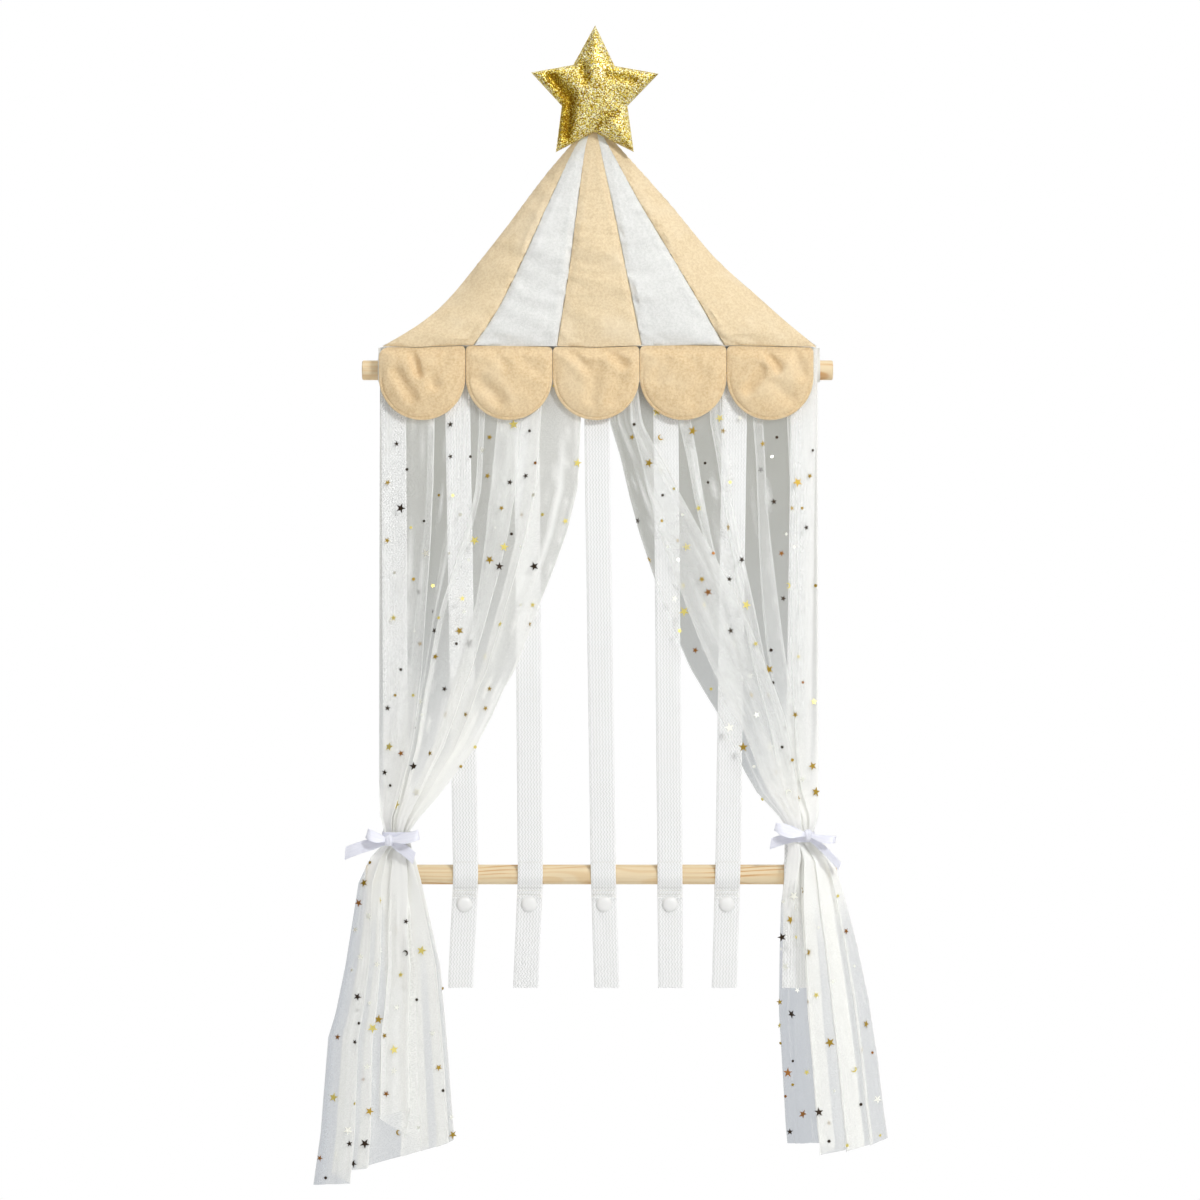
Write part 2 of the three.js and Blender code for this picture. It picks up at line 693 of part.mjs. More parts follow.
// Every row of a curtain: its height for a share across, its two edges, its fold depth and how gathered
function curtainRows(curtain) {
  const { side, edge, width, tie, skirtWidth, skirtDrop } = curtain;
  const pick = side < 0 ? 0 : 1;
  const drapeDrop = hangersTop - (tieHeight + tieHalf);
  const tieEdges = [tie + bundleHalfWidth, tie - bundleHalfWidth];
  const rows = [];
  for (const [downShare, left, right, fold, gathered] of drapeShares) {
    const inner = edge - width * [left, right][pick];
    rows.push({ height: () => hangersTop - drapeDrop * downShare, edges: [edge, inner], fold, gathered });
  }
  const tieFold = 0.3;
  rows.push({ height: () => tieHeight + tieHalf, edges: tieEdges, fold: tieFold, gathered: 1 });
  rows.push({ height: () => tieHeight - tieHalf, edges: tieEdges, fold: tieFold, gathered: 1 });
  for (const [downShare, outLeft, outRight, inLeft, inRight, fold, gathered] of skirtShares) {
    const edges = [
      tie + skirtWidth * [outLeft, outRight][pick],
      tie - skirtWidth * [inLeft, inRight][pick],
    ];
    const hem = (across) => skirtDrop * shareAt(hemShares[curtain.name], across);
    const height = (across) => lerp(tieHeight - tieHalf, tieHeight - hem(across), downShare);
    rows.push({ height, edges, fold, gathered });
  }
  return rows;
}

// One gathered sheet: folded above and below, drawn into a solid bundle where the ribbon ties it
function addCurtain(curtain) {
  const rows = curtainRows(curtain);
  const tieRow = drapeShares.length;
  const surface = (front) => (across, row) => {
    const { height, edges, fold, gathered } = rows[row];
    const x = curtain.side * lerp(edges[0], edges[1], across);
    const room = row > tieRow ? bundleBack - skirtFront : headerBack;
    const wave = 0.5 + 0.5 * cos(2 * PI * foldCount * across);
    const foldHeight = headerFold * 2 + (foldDepth - headerFold * 2) * fold;
    const sheet = room - foldHeight * wave - (front ? tulleThickness : 0);
    const round = (bundleDepth / 2) * sqrt(1 - bundleEndShare * (2 * across - 1) ** 2);
    const bundle = bundleMiddle + (front ? -round : round);
    return at(x, lerp(sheet, bundle, gathered), height(across));
  };
  const geometry = sheetBetween(foldCount * foldSteps, rows.length - 1, surface(true), surface(false));
  addPiece(`curtain_${curtain.name}`, geometry, tulle);
}

// The ribbon's band goes round the curtain's bundle and the outer strap behind it
function addRibbonBand(curtain) {
  const strapX = strapAcross(curtain.strap, tieHeight);
  const bundleX = curtain.side * curtain.tie;
  const left = min(strapX - strapWidth / 2, bundleX - bundleHalfWidth) - gap;
  const right = max(strapX + strapWidth / 2, bundleX + bundleHalfWidth) + gap;
  const back = strapTieDepth + strapThickness / 2 + gap;
  const front = bundleBack - bundleDepth - gap;
  const rectangle = (target, grow) => {
    const [x0, x1, y0, y1] = [left - grow, right + grow, front - grow, back + grow];
    const corner = ribbonWidth / 3 + grow;
    target.moveTo(x0 + corner, y0);
    target.lineTo(x1 - corner, y0);
    target.quadraticCurveTo(x1, y0, x1, y0 + corner);
    target.lineTo(x1, y1);
    target.lineTo(x0, y1);
    target.lineTo(x0, y0 + corner);
    target.quadraticCurveTo(x0, y0, x0 + corner, y0);
    return target;
  };
  const ring = rectangle(new THREE.Shape(), ribbonThickness);
  ring.holes.push(rectangle(new THREE.Path(), 0));
  const run = { depth: ribbonWidth, bevelEnabled: false, curveSegments: 4 };
  const geometry = new THREE.ExtrudeGeometry(ring, run);
  const place = at(0, 0, tieHeight - ribbonWidth / 2);
  addPiece(`ribbon_band_${curtain.name}`, closedShape(geometry), satin, place);
}

function addBow(curtain) {
  const bandFront = bundleBack - bundleDepth - gap - ribbonThickness;
  const tailDepth = bandFront - gap;
  const knotBack = tailDepth - ribbonThickness - gap;
  const { name, side, tie, knotOut, knotRise } = curtain;
  const knotX = side * (tie + knotOut);
  const knotHeight = tieHeight + knotRise;
  const { loops, tails } = bowTipShares[name];

  const knotOutline = [];
  const knotSteps = 12;
  for (let i = 0; i < knotSteps; i += 1) {
    const angle = (2 * PI * i) / knotSteps;
    knotOutline.push(new THREE.Vector2(knotHalfWidth * cos(angle), knotHalfHeight * sin(angle)));
  }
  const knotFront = (share) => -knotDepth + knotPuff * share * share;
  const knot = puffedPad(knotOutline, new THREE.Vector2(), 2, knotFront, () => 0);
  addPiece(`bow_knot_${name}`, knot, satin, at(knotX, knotBack, knotHeight));

  for (const [which, tip] of Object.entries(loops)) {
    const reach = hypot(...tip) * ribbonWidth;
    const start = knotHalfWidth + gap;
    const half = bowLoopDepth / 2;
    const alongShares = [0, 0.3, 0.65, 0.9, 1, 0.9, 0.65, 0.3, 0];
    const acrossShares = [-0.4, -0.8, -1, -0.7, 0, 0.7, 1, 0.8, 0.4];
    const path = alongShares.map(
      (share, i) => new THREE.Vector2(lerp(start, reach, share), half * acrossShares[i]),
    );
    const place = (spot, across) => at(spot.x, spot.y, across);
    const loop = bandAlong(path, ribbonWidth - ribbonThickness, ribbonThickness, place);
    const mesh = addPiece(`bow_loop_${name}_${which}`, loop, satin);
    mesh.position.set(knotX, knotBack - half - ribbonThickness / 2, knotHeight);
    mesh.rotation.y = -Math.atan2(tip[1], tip[0]);
  }

  const arms = tails.map(([x, z]) => new THREE.Vector2(x, z).multiplyScalar(ribbonWidth));
  const [left, right] = arms.map((arm) => {
    const across = new THREE.Vector2(-arm.y, arm.x).normalize();
    const sideways = across.multiplyScalar((ribbonWidth / 2) * sign(arm.x));
    return { top: arm.clone().add(sideways), bottom: arm.clone().sub(sideways) };
  });
  const outline = new THREE.Shape([
    left.bottom,
    new THREE.Vector2(0, -ribbonWidth * 0.6),
    right.bottom,
    right.top,
    new THREE.Vector2(0, ribbonWidth / 2),
    left.top,
  ]);
  const geometry = new THREE.ExtrudeGeometry(outline, { depth: ribbonThickness, bevelEnabled: false });
  // The flat shape stands up: its y becomes height and its thickness goes back
  geometry.rotateX(PI / 2);
  addPiece(`bow_tails_${name}`, closedShape(geometry), satin, at(knotX, tailDepth, knotHeight));
}

addStar();
addHangingLoop();
addGores();
addRoofBack();
addRoofPadding();
addSleeve();
addScallops();
addRod("top_rod", upperRodShift, upperRodHeight);
addRod("bottom_rod", lowerRodShift, lowerRodHeight);
strapTopShares.forEach((_, strap) => {
  addStrap(strap);
  addStrapLoop(strap);
  addSnapCap(strap);
  addSnapSocket(strap);
});
const curtains = [
  {
    name: "left",
    side: -1,
    edge: leftEdge,
    width: leftWidth,
    tie: leftTie,
    skirtWidth: leftSkirtWidth,
    skirtDrop: leftSkirtDrop,
    knotOut: leftKnotOut,
    knotRise: leftKnotRise,
    strap: 0,
  },
  {
    name: "right",
    side: 1,
    edge: rightEdge,
    width: rightWidth,
    tie: rightTie,
    skirtWidth: rightSkirtWidth,
    skirtDrop: rightSkirtDrop,
    knotOut: rightKnotOut,
    knotRise: rightKnotRise,
    strap: strapTopShares.length - 1,
  },
];
for (const curtain of curtains) {
  addCurtain(curtain);
  addRibbonBand(curtain);
  addBow(curtain);
}

export default crown;
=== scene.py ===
"""A wall-hung tent crown: stuffed striped roof, glitter star, scalloped valance, tied-back tulle
curtains with foil confetti, and webbing straps between two pine dowels."""

import math
import random

import bpy
import numpy as np
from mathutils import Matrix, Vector, noise


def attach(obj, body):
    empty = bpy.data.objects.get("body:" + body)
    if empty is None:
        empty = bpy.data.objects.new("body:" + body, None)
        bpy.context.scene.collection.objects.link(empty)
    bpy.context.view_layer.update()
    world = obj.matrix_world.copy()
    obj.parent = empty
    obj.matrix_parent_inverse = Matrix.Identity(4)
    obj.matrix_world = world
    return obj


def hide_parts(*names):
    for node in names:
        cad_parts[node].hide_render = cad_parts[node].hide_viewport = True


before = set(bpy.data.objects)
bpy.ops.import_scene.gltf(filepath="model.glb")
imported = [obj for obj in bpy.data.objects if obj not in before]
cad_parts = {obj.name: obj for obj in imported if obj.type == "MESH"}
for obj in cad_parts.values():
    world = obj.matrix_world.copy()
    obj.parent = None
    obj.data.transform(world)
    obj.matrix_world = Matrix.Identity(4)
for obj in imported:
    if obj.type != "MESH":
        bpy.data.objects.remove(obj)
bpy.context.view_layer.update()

# The picture: the crown hangs clear of everything, and the camera looks at it level from the front.
# The whole picture is 0.96 m wide where the straps hang.
mm = 0.001
picture_width, camera_distance = 960 * mm, 3200 * mm
bpy.ops.object.camera_add(location=(4 * mm, -camera_distance - 12 * mm, -416 * mm), rotation=(math.pi / 2, 0, 0))
camera = bpy.context.object
camera.data.sensor_width = 36
camera.data.lens = camera.data.sensor_width * camera_distance / picture_width
camera.data.clip_end = 50
bpy.context.scene.camera = camera
bpy.context.scene.view_settings.view_transform = "Standard"


class Wire:
    """The value that comes out of a material's node, on which sums are written as on a number."""

    def __init__(self, finish, socket):
        self.finish = finish
        self.socket = socket

    def sum(self, operation, *values):
        return self.finish.node("ShaderNodeMath", {"operation": operation}, dict(enumerate(values)))

    def __add__(self, other):
        return self.sum("ADD", self, other)

    def __sub__(self, other):
        return self.sum("SUBTRACT", self, other)

    def __rsub__(self, other):
        return self.sum("SUBTRACT", other, self)

    def __mul__(self, other):
        return self.sum("MULTIPLY", self, other)

    def __truediv__(self, other):
        return self.sum("DIVIDE", self, other)

    def __gt__(self, other):
        return self.sum("GREATER_THAN", self, other)

    def __pow__(self, other):
        return self.sum("POWER", self, other)

    __radd__ = __add__

    def wave(self):
        """A smooth wave from 0 to 1, one for each whole number."""
        return self.sum("SINE", self * (2 * math.pi)) * 0.5 + 0.5

    def zigzag(self, size):
        return self.sum("PINGPONG", self, size)

    def within(self, low, high):
        """0 below low, 1 above high, smooth between."""
        settings = {"interpolation_type": "SMOOTHSTEP"}
        return self.finish.node("ShaderNodeMapRange", settings, {"Value": self, "From Min": low, "From Max": high})


class Finish:
    """A material, or the world's light, built up node by node."""

    def __init__(self, name, owner=None):
        self.owner = owner or bpy.data.materials.new(name)
        self.owner.use_nodes = True
        self.tree = self.owner.node_tree
        self.tree.nodes.clear()

    def node(self, kind, settings=None, inputs=None, out=0):
        made = self.tree.nodes.new(kind)
        for name, value in (settings or {}).items():
            if name == "stops":
                self.ramp(made.color_ramp, value)
            else:
                setattr(made, name, value)
        for name, value in (inputs or {}).items():
            if isinstance(value, Wire):
                self.tree.links.new(value.socket, made.inputs[name])
            else:
                made.inputs[name].default_value = value
        return Wire(self, made.outputs[out])

    def ramp(self, ramp, stops):
        while len(ramp.elements) < len(stops):
            ramp.elements.new(1)
        for element, (place, colour) in zip(ramp.elements, stops):
            element.position = place
            element.color = colour

    def blend(self, factor, one, other):
        """A colour between two others, on the mix node's two sockets for colours."""
        return self.node("ShaderNodeMix", {"data_type": "RGBA"}, {0: factor, 6: one, 7: other}, out=2)

    def places(self):
        """Metres in the object's own frame: the vector, and its three numbers."""
        spot = self.node("ShaderNodeTexCoord", out=3)
        return spot, [self.node("ShaderNodeSeparateXYZ", None, {0: spot}, out=i) for i in range(3)]

    def cloth_places(self):
        """Metres across and along the piece's own cloth."""
        flat = self.node("ShaderNodeTexCoord", out=2)
        return flat, [self.node("ShaderNodeSeparateXYZ", None, {0: flat}, out=i) for i in range(2)]

    def stretched(self, vector, scale, location=(0, 0, 0)):
        return self.node("ShaderNodeMapping", None, {"Vector": vector, "Scale": scale, "Location": location})

    def grain(self, vector, scale, detail=2.0, roughness=0.5):
        inputs = {"Vector": vector, "Scale": scale, "Detail": detail, "Roughness": roughness}
        return self.node("ShaderNodeTexNoise", None, inputs)

    def bump(self, height, distance, strength=1.0, normal=None):
        inputs = {"Height": height, "Distance": distance, "Strength": strength}
        if normal:
            inputs["Normal"] = normal
        return self.node("ShaderNodeBump", None, inputs)

    def finished(self, shader):
        kind = "ShaderNodeOutputWorld" if isinstance(self.owner, bpy.types.World) else "ShaderNodeOutputMaterial"
        output = self.tree.nodes.new(kind)
        self.tree.links.new(shader.socket, output.inputs["Surface"])
        return self.owner

    def surface(self, inputs):
        """The finished material of something that is neither a lamp nor the room."""
        return self.finished(self.node("ShaderNodeBsdfPrincipled", None, inputs))


def tint(red, green, blue):
    """A colour as a paint chart gives it, from 0 to 255, as the shader wants it."""
    share = [value / 255 for value in (red, green, blue)]
    return (*[v / 12.92 if v <= 0.04045 else ((v + 0.055) / 1.055) ** 2.4 for v in share], 1)


# The room: an even white surround, seen as a soft grey only through the tulle, as the wall behind
# it is in the picture, and a pale floor that keeps the shadow under the crown.
world = Finish("studio", bpy.context.scene.world or bpy.data.worlds.new("studio"))
bpy.context.scene.world = world.owner
from_camera, glossy, through_glass, layers_passed = (
    world.node("ShaderNodeLightPath", out=name)
    for name in ("Is Camera Ray", "Is Glossy Ray", "Is Transmission Ray", "Transparent Depth")
)
seen = from_camera.sum("MAXIMUM", from_camera, through_glass)
behind_tulle = from_camera * (layers_passed > 0.5)
white = world.node("ShaderNodeBackground", None, {"Color": (1, 1, 1, 1), "Strength": 1})
away = world.node("ShaderNodeTexCoord", out=0)
rise = world.node("ShaderNodeSeparateXYZ", None, {0: away}, out=2)
sideways = world.node("ShaderNodeSeparateXYZ", None, {0: away}, out=0)
# Painted shade: the wall seen through the tulle is painted darker and warmer towards the top, and darkest in a narrow
# band just under the roof, for the roof's shadow on it.
wall_grey_painted_shade = world.blend(rise.within(-0.09, 0.045), tint(190, 194, 199), tint(167, 167, 159))
wall_grey_painted_shade = world.blend(rise.within(0.043, 0.053), wall_grey_painted_shade, tint(112, 108, 98))
wall_grey = world.node("ShaderNodeBackground", None, {"Color": wall_grey_painted_shade, "Strength": 1})
room_light = world.node("ShaderNodeBackground", None, {"Color": (1, 1, 1, 1), "Strength": 0.42})
reflected = world.blend((sideways * 0.8 + rise * 0.6).within(-0.55, 0.5), tint(104, 86, 40), tint(255, 255, 255))
mirrored = world.node("ShaderNodeBackground", None, {"Color": reflected, "Strength": 1.1})
unseen = world.node("ShaderNodeMixShader", None, {0: glossy, 1: room_light, 2: mirrored})
lit = world.node("ShaderNodeMixShader", None, {0: seen, 1: unseen, 2: white})
world.finished(world.node("ShaderNodeMixShader", None, {0: behind_tulle, 1: lit, 2: wall_grey}))

floor_height = -1000 * mm
bpy.ops.mesh.primitive_circle_add(vertices=96, radius=6, fill_type="NGON", location=(0, 0, floor_height))
floor = bpy.context.object
floor.name = "floor"
paint = Finish("pale_floor")
_, (east, north, _) = paint.places()
distance = (east * east + north * north) ** 0.5
from_camera = paint.node("ShaderNodeLightPath", out="Is Camera Ray")
layers_passed = paint.node("ShaderNodeLightPath", out="Transparent Depth")
pale = paint.node("ShaderNodeBsdfDiffuse", None, {"Color": tint(246, 246, 246)})
bright = paint.node("ShaderNodeEmission", None, {"Color": (1, 1, 1, 1), "Strength": 1})
dim = paint.node("ShaderNodeEmission", None, {"Color": tint(192, 196, 202), "Strength": 1})
far = paint.node("ShaderNodeMixShader", None, {0: layers_passed > 0.5, 1: bright, 2: dim})
fading = distance.within(0.25, 0.6) * from_camera
floor.data.materials.append(paint.finished(paint.node("ShaderNodeMixShader", None, {0: fading, 1: pale, 2: far})))

# A small key lamp high on the right, a broad fill low on the left, a little from above, and one behind
lamps = (
    ("key", (1.55, -2.35, 1.2), 0.5, 46),
    ("fill", (-1.2, -2.2, -1.8), 2.2, 39),
    ("top", (0.1, -0.5, 1.6), 0.9, 8),
    ("back", (-1.6, 2.4, 0.2), 2.0, 26),
)
for name, place, size, power in lamps:
    bpy.ops.object.light_add(type="AREA", location=place)
    lamp = bpy.context.object
    lamp.name = f"{name}_lamp"
    lamp.data.size = size
    lamp.data.energy = power
    lamp.rotation_euler = (Vector((0, 0, -0.45)) - Vector(place)).to_track_quat("-Z", "Y").to_euler()


# The dowels: two lengths of bare sanded pine, 15.8 mm thick, cut square with the edges just broken.
# The upper one lies in the casing under the roof, the lower one in the straps' back loops.
pine = Finish("bare_pine")
spot, (along, depth, height) = pine.places()
drift = pine.grain(pine.stretched(spot, (6, 24, 24)), 1, 2)
rings = ((height * 0.9 + depth * 0.5 + drift * 0.042) * 230).wave()
fibre = pine.grain(pine.stretched(spot, (14, 900, 900)), 1, 2)
cloud = pine.grain(pine.stretched(spot, (16, 50, 50), (3, 1, 2)), 1, 2)
colour = pine.blend(rings.within(0.3, 1) * 0.5, tint(239, 218, 180), tint(227, 193, 140))
colour = pine.blend(rings.within(0.7, 1) * cloud.within(0.45, 0.62) * 0.75, colour, tint(208, 152, 90))
colour = pine.blend(fibre.within(0.52, 0.8) * 0.3, colour, tint(196, 156, 104))
pine.surface({"Base Color": colour, "Roughness": 0.62 + fibre * 0.15, "Normal": pine.bump(fibre, 0.1 * mm, 0.4)})
for name in ("top_rod", "bottom_rod"):
    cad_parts[name].material_slots[0].material = pine.owner


# The straps: seven lengths of white herringbone webbing, 20 mm wide and 1.4 mm thick, sewn under the
# roof, running down over the front of the lower dowel to a cut tail.
upper_rod, lower_rod = -231.9, -636.0
rod_depth = -5.7
strap_width, strap_thickness = 20, 1.4
strap_tops = (-161.15, -110.55, -55, 0.55, 56.1, 112.2, 167.2)
strap_rods = (-158.95, -103.4, -51.7, 6.6, 59.95, 106.15, 161.15)
strap_tails = (-158.4, -107.8, -55.55, 9.35, 60.5, 103.4, 159.5)
hangers_top, tail_end = -213.9, -726.4


def mesh_piece(name, points, faces, material, flat=None, smooth=True):
    """A piece from its points, in millimetres, and faces, with the place of each point on its cloth."""
    mesh = bpy.data.meshes.new(name)
    mesh.from_pydata([Vector(point) * mm for point in points], [], faces)
    if flat is not None:
        layer = mesh.uv_layers.new(name="cloth")
        for loop in mesh.loops:
            across, along = flat[loop.vertex_index]
            layer.data[loop.index].uv = (across * mm, along * mm)
    mesh.polygons.foreach_set("use_smooth", [smooth] * len(mesh.polygons))
    mesh.materials.append(material)
    piece = bpy.data.objects.new(name, mesh)
    bpy.context.scene.collection.objects.link(piece)
    return piece


def facing_out(piece, corner_angle=None):
    """Turn a closed piece's faces outwards, and shade it smooth up to the angle given."""
    bpy.ops.object.select_all(action="DESELECT")
    piece.select_set(True)
    bpy.context.view_layer.objects.active = piece
    bpy.ops.object.mode_set(mode="EDIT")
    bpy.ops.mesh.select_all(action="SELECT")
    bpy.ops.mesh.normals_make_consistent(inside=False)
    bpy.ops.object.mode_set(mode="OBJECT")
    if corner_angle:
        bpy.ops.object.shade_smooth_by_angle(angle=math.radians(corner_angle))
    return piece


def grid_faces(rows, columns):
    return [
        (i * columns + j, i * columns + j + 1, (i + 1) * columns + j + 1, (i + 1) * columns + j)
        for i in range(rows - 1)
        for j in range(columns - 1)
    ]


def ring_faces(rings, sides):
    """The faces between closed rings of points, each ring with the next one."""
    return [
        (r * sides + i, r * sides + (i + 1) % sides, (r + 1) * sides + (i + 1) % sides, (r + 1) * sides + i)
        for r in range(rings)
        for i in range(sides)
    ]


def selvedge(width, thickness):
    """The outline of a cut across webbing: flat faces and rounded edges, as (across, out) pairs."""
    half, edge, columns = width / 2, thickness / 2, 8
    flats = [half - edge - (width - thickness) * i / columns for i in range(columns + 1)]
    turn = [math.pi / 2 + math.pi * i / 4 for i in range(1, 4)]
    left = [(-half + edge + edge * math.cos(a), edge * math.sin(a)) for a in turn]
    right = [(-across, -out) for across, out in left]
    return [(x, edge) for x in flats] + left + [(-x, -edge) for x in flats] + right


def band(name, stations, width, thickness, material):
    """A flat band through stations of (middle, across, out, share of the width)."""
    points, flat = [], []
    along = 0
    for i, (middle, across, out, share) in enumerate(stations):
        if i:
            along += (middle - stations[i - 1][0]).length
        ring = selvedge(width * share, thickness)
        points += [middle + across * x + out * rise for x, rise in ring]
        flat += [(x, along) for x, _ in ring]
    count, last = len(ring), len(points) - len(ring)
    faces = ring_faces(len(stations) - 1, count)
    faces += [tuple(range(count))[::-1], tuple(range(last, last + count))]
    return facing_out(mesh_piece(name, points, faces, material, flat), 50)


def run_length(stations):
    """The length of a band along its middle, in metres."""
    return sum((b[0] - a[0]).length for a, b in zip(stations, stations[1:])) * mm


def neighbours(run, i):
    """What comes before and after one of a run, or the one itself at its ends."""
    return run[max(i - 1, 0)], run[min(i + 1, len(run) - 1)]


def dressed(piece, node, slot, body="crown"):
    """The piece stands for a solid of the part, which it hides, and moves with a body.
    The slot is not used.
    """
    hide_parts(node)
    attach(piece, body)


def smooth_share(value, low, high):
    share = np.clip((value - low) / (high - low), 0, 1)
    return share * share * (3 - 2 * share)


def strap_middle(strap, height):
    if height > lower_rod:
        share = (height - lower_rod) / (hangers_top - lower_rod)
        return strap_rods[strap] + (strap_tops[strap] - strap_rods[strap]) * share
    share = (lower_rod - height) / (lower_rod - tail_end)
    return strap_rods[strap] + (strap_tails[strap] - strap_rods[strap]) * share


strap_top_depth, strap_rod_depth, strap_snap_depth = -16.4, -14.6, -10.7


def strap_depth(height):
    if height > lower_rod - 2:
        share = min(1, max(0, (height + 620.2) / (620.2 - 241.6)))
        return strap_rod_depth + (strap_top_depth - strap_rod_depth) * share
    return strap_rod_depth + (strap_snap_depth - strap_rod_depth) * smooth_share(lower_rod - 2 - height, 0, 7.5)


webbing = Finish("herringbone_webbing")
flat, (across, along) = webbing.cloth_places()
lean = along.zigzag(1.9 * mm)
strands = ((across + lean * 0.8) / (2.4 * mm)).wave()
picks = ((along - across * 0.3) / (0.95 * mm)).wave()
wear = webbing.grain(webbing.stretched(flat, (160, 30, 1)), 1, 3)
fuzz = webbing.grain(flat, 2600, 2)
raised = strands.within(0.02, 0.42) * (picks * 0.15 + 0.85)
colour = webbing.blend(raised, tint(226, 228, 225), tint(255, 255, 255))
colour = webbing.blend(wear.within(0.5, 0.8) * 0.2, colour, tint(240, 239, 234))
webbing.surface({
    "Base Color": colour,
    "Roughness": 0.85 - raised * 0.1,
    "Sheen Weight": 0.15,
    "Normal": webbing.bump(fuzz, 0.08 * mm, 0.4, webbing.bump(raised, 0.25 * mm, 0.5)),
})


def strap_bar(height):
    """How far a strap stands out where its end is folded under and stitched down, below the dowel."""
    folded = smooth_share(height, -653.2, -652.7) * (1 - smooth_share(height, -647.4, -645.0))
    drawn_in = math.exp(-(((height + 654.4) / 1.0) ** 2))
    return 2.2 * folded - 0.8 * drawn_in


strap_levels = {hangers_top - (hangers_top - tail_end) * i / 170 for i in range(171)}
# They lie closer together round the folded end
strap_levels |= {-651.8 - 0.25 * i for i in range(16)} | {-644.4 - 0.3 * i for i in range(10)}
strap_levels = sorted(strap_levels, reverse=True)
for strap in range(7):
    stations = []
    for height in strap_levels:
        middle = Vector((strap_middle(strap, height), strap_depth(height), height))
        slope = Vector((0, strap_depth(height - 1) - strap_depth(height + 1), -2)).normalized()
        out = Vector((0, slope.z, -slope.y))
        ripple = 0.15 * noise.noise(Vector((strap * 9, height * 0.03, 0)))
        stations.append((middle + out * (ripple - strap_bar(height)), Vector((1, 0, 0)), out, 1))
    piece = band(f"webbing_strap_{strap + 1}", stations, strap_width, strap_thickness, webbing.owner)
    flat = (strap_width * mm, run_length(stations))
    dressed(piece, f"strap_{strap + 1}", "webbing")


# The curtains: one length of sheer white tulle each, gathered into the base seam over the straps,
# drawn aside in long overlapping folds, tied round the outer strap and left to flare below.
curtain_cut = 255
drape_levels = (-214, -280, -340, -432, -504, -568)
skirt_levels = (-625, -690, -776, -883)
# Each fold edge: place on the cloth, depth (0 back, 1 front), places across the drape at each level
# from the outer edge to the inner one, the same for the skirt, and the height of the hem.
curtain_folds = {
    "left": (
        (0.00, 0.0, (0, 0, 0, 0, 0, 0), (0, 0, 0, 0), -883.2),
        (0.14, 1.0, (0.27, 0.275, 0.273, 0.303, 0.34, 0.36), (0.22, 0.26, 0.265, 0.27), -881),
        (0.20, 0.1, (0.235, 0.235, 0.236, 0.226, 0.22, 0.23), (0.16, 0.12, 0.11, 0.11), -873),
        (0.30, 0.8, (0.36, 0.36, 0.35, 0.33, 0.33, 0.36), (0.38, 0.38, 0.385, 0.39), -869),
        (0.34, 0.1, (0.37, 0.37, 0.36, 0.34, 0.32, 0.33), (0.3, 0.29, 0.285, 0.28), -870.5),
        (0.46, 0.5, (0.54, 0.52, 0.515, 0.406, 0.41, 0.46), (0.74, 0.8, 0.82, 0.83), -853),
        (0.50, 0.6, (0.49, 0.485, 0.477, 0.368, 0.36, 0.4), (0.5, 0.44, 0.43, 0.42), -829),
        (0.63, 1.0, (0.73, 0.7, 0.69, 0.7, 0.68, 0.66), (0.84, 0.7, 0.68, 0.68), -821),
        (0.69, 0.1, (0.6, 0.57, 0.545, 0.6, 0.56, 0.54), (0.66, 0.6, 0.6, 0.6), -861),
        (0.80, 1.0, (0.82, 0.8, 0.785, 0.8, 0.8, 0.8), (0.95, 0.96, 0.97, 0.97), -848),
        (0.85, 0.2, (0.76, 0.74, 0.72, 0.74, 0.74, 0.7), (0.82, 0.84, 0.86, 0.86), -853),
        (0.985, 0.7, (1, 1, 1, 1, 1, 1), (1, 1, 1, 1), -846.4),
        (1.00, 0.3, (0.975, 0.978, 0.98, 0.98, 0.985, 0.97), (0.985, 0.985, 0.985, 0.985), -847),
    ),
    "right": (
        (0.00, 0.0, (0, 0, 0, 0, 0, 0), (0, 0, 0, 0), -845.6),
        (0.10, 0.9, (0.15, 0.15, 0.15, 0.19, 0.25, 0.3), (0.12, 0.17, 0.18, 0.19), -851),
        (0.14, 0.1, (0.115, 0.115, 0.11, 0.12, 0.15, 0.18), (0.09, 0.13, 0.14, 0.145), -850),
        (0.24, 0.8, (0.31, 0.315, 0.327, 0.378, 0.4, 0.42), (0.42, 0.43, 0.43, 0.43), -856),
        (0.28, 0.1, (0.25, 0.255, 0.266, 0.244, 0.22, 0.25), (0.22, 0.22, 0.22, 0.22), -852),
        (0.40, 1.1, (0.53, 0.52, 0.51, 0.5, 0.52, 0.55), (0.66, 0.68, 0.69, 0.69), -858.4),
        (0.45, 0.1, (0.46, 0.45, 0.45, 0.4, 0.38, 0.4), (0.5, 0.5, 0.52, 0.52), -854),
        (0.55, 0.6, (0.68, 0.67, 0.66, 0.62, 0.62, 0.62), (0.7, 0.69, 0.69, 0.69), -849),
        (0.60, 0.0, (0.6, 0.6, 0.6, 0.57, 0.55, 0.52), (0.62, 0.61, 0.61, 0.61), -850),
        (0.72, 0.5, (0.9, 0.9, 0.9, 0.86, 0.82, 0.8), (0.8, 0.78, 0.77, 0.77), -849),
        (0.79, 1.1, (0.87, 0.84, 0.7, 0.458, 0.33, 0.28), (0.76, 0.82, 0.83, 0.83), -849),
        (0.985, 1.0, (1, 1, 1, 1, 1, 1), (1, 1, 1, 1), -848.8),
        (1.00, 0.5, (0.975, 0.978, 0.98, 0.98, 0.985, 0.97), (0.985, 0.985, 0.985, 0.985), -849),
    ),
}
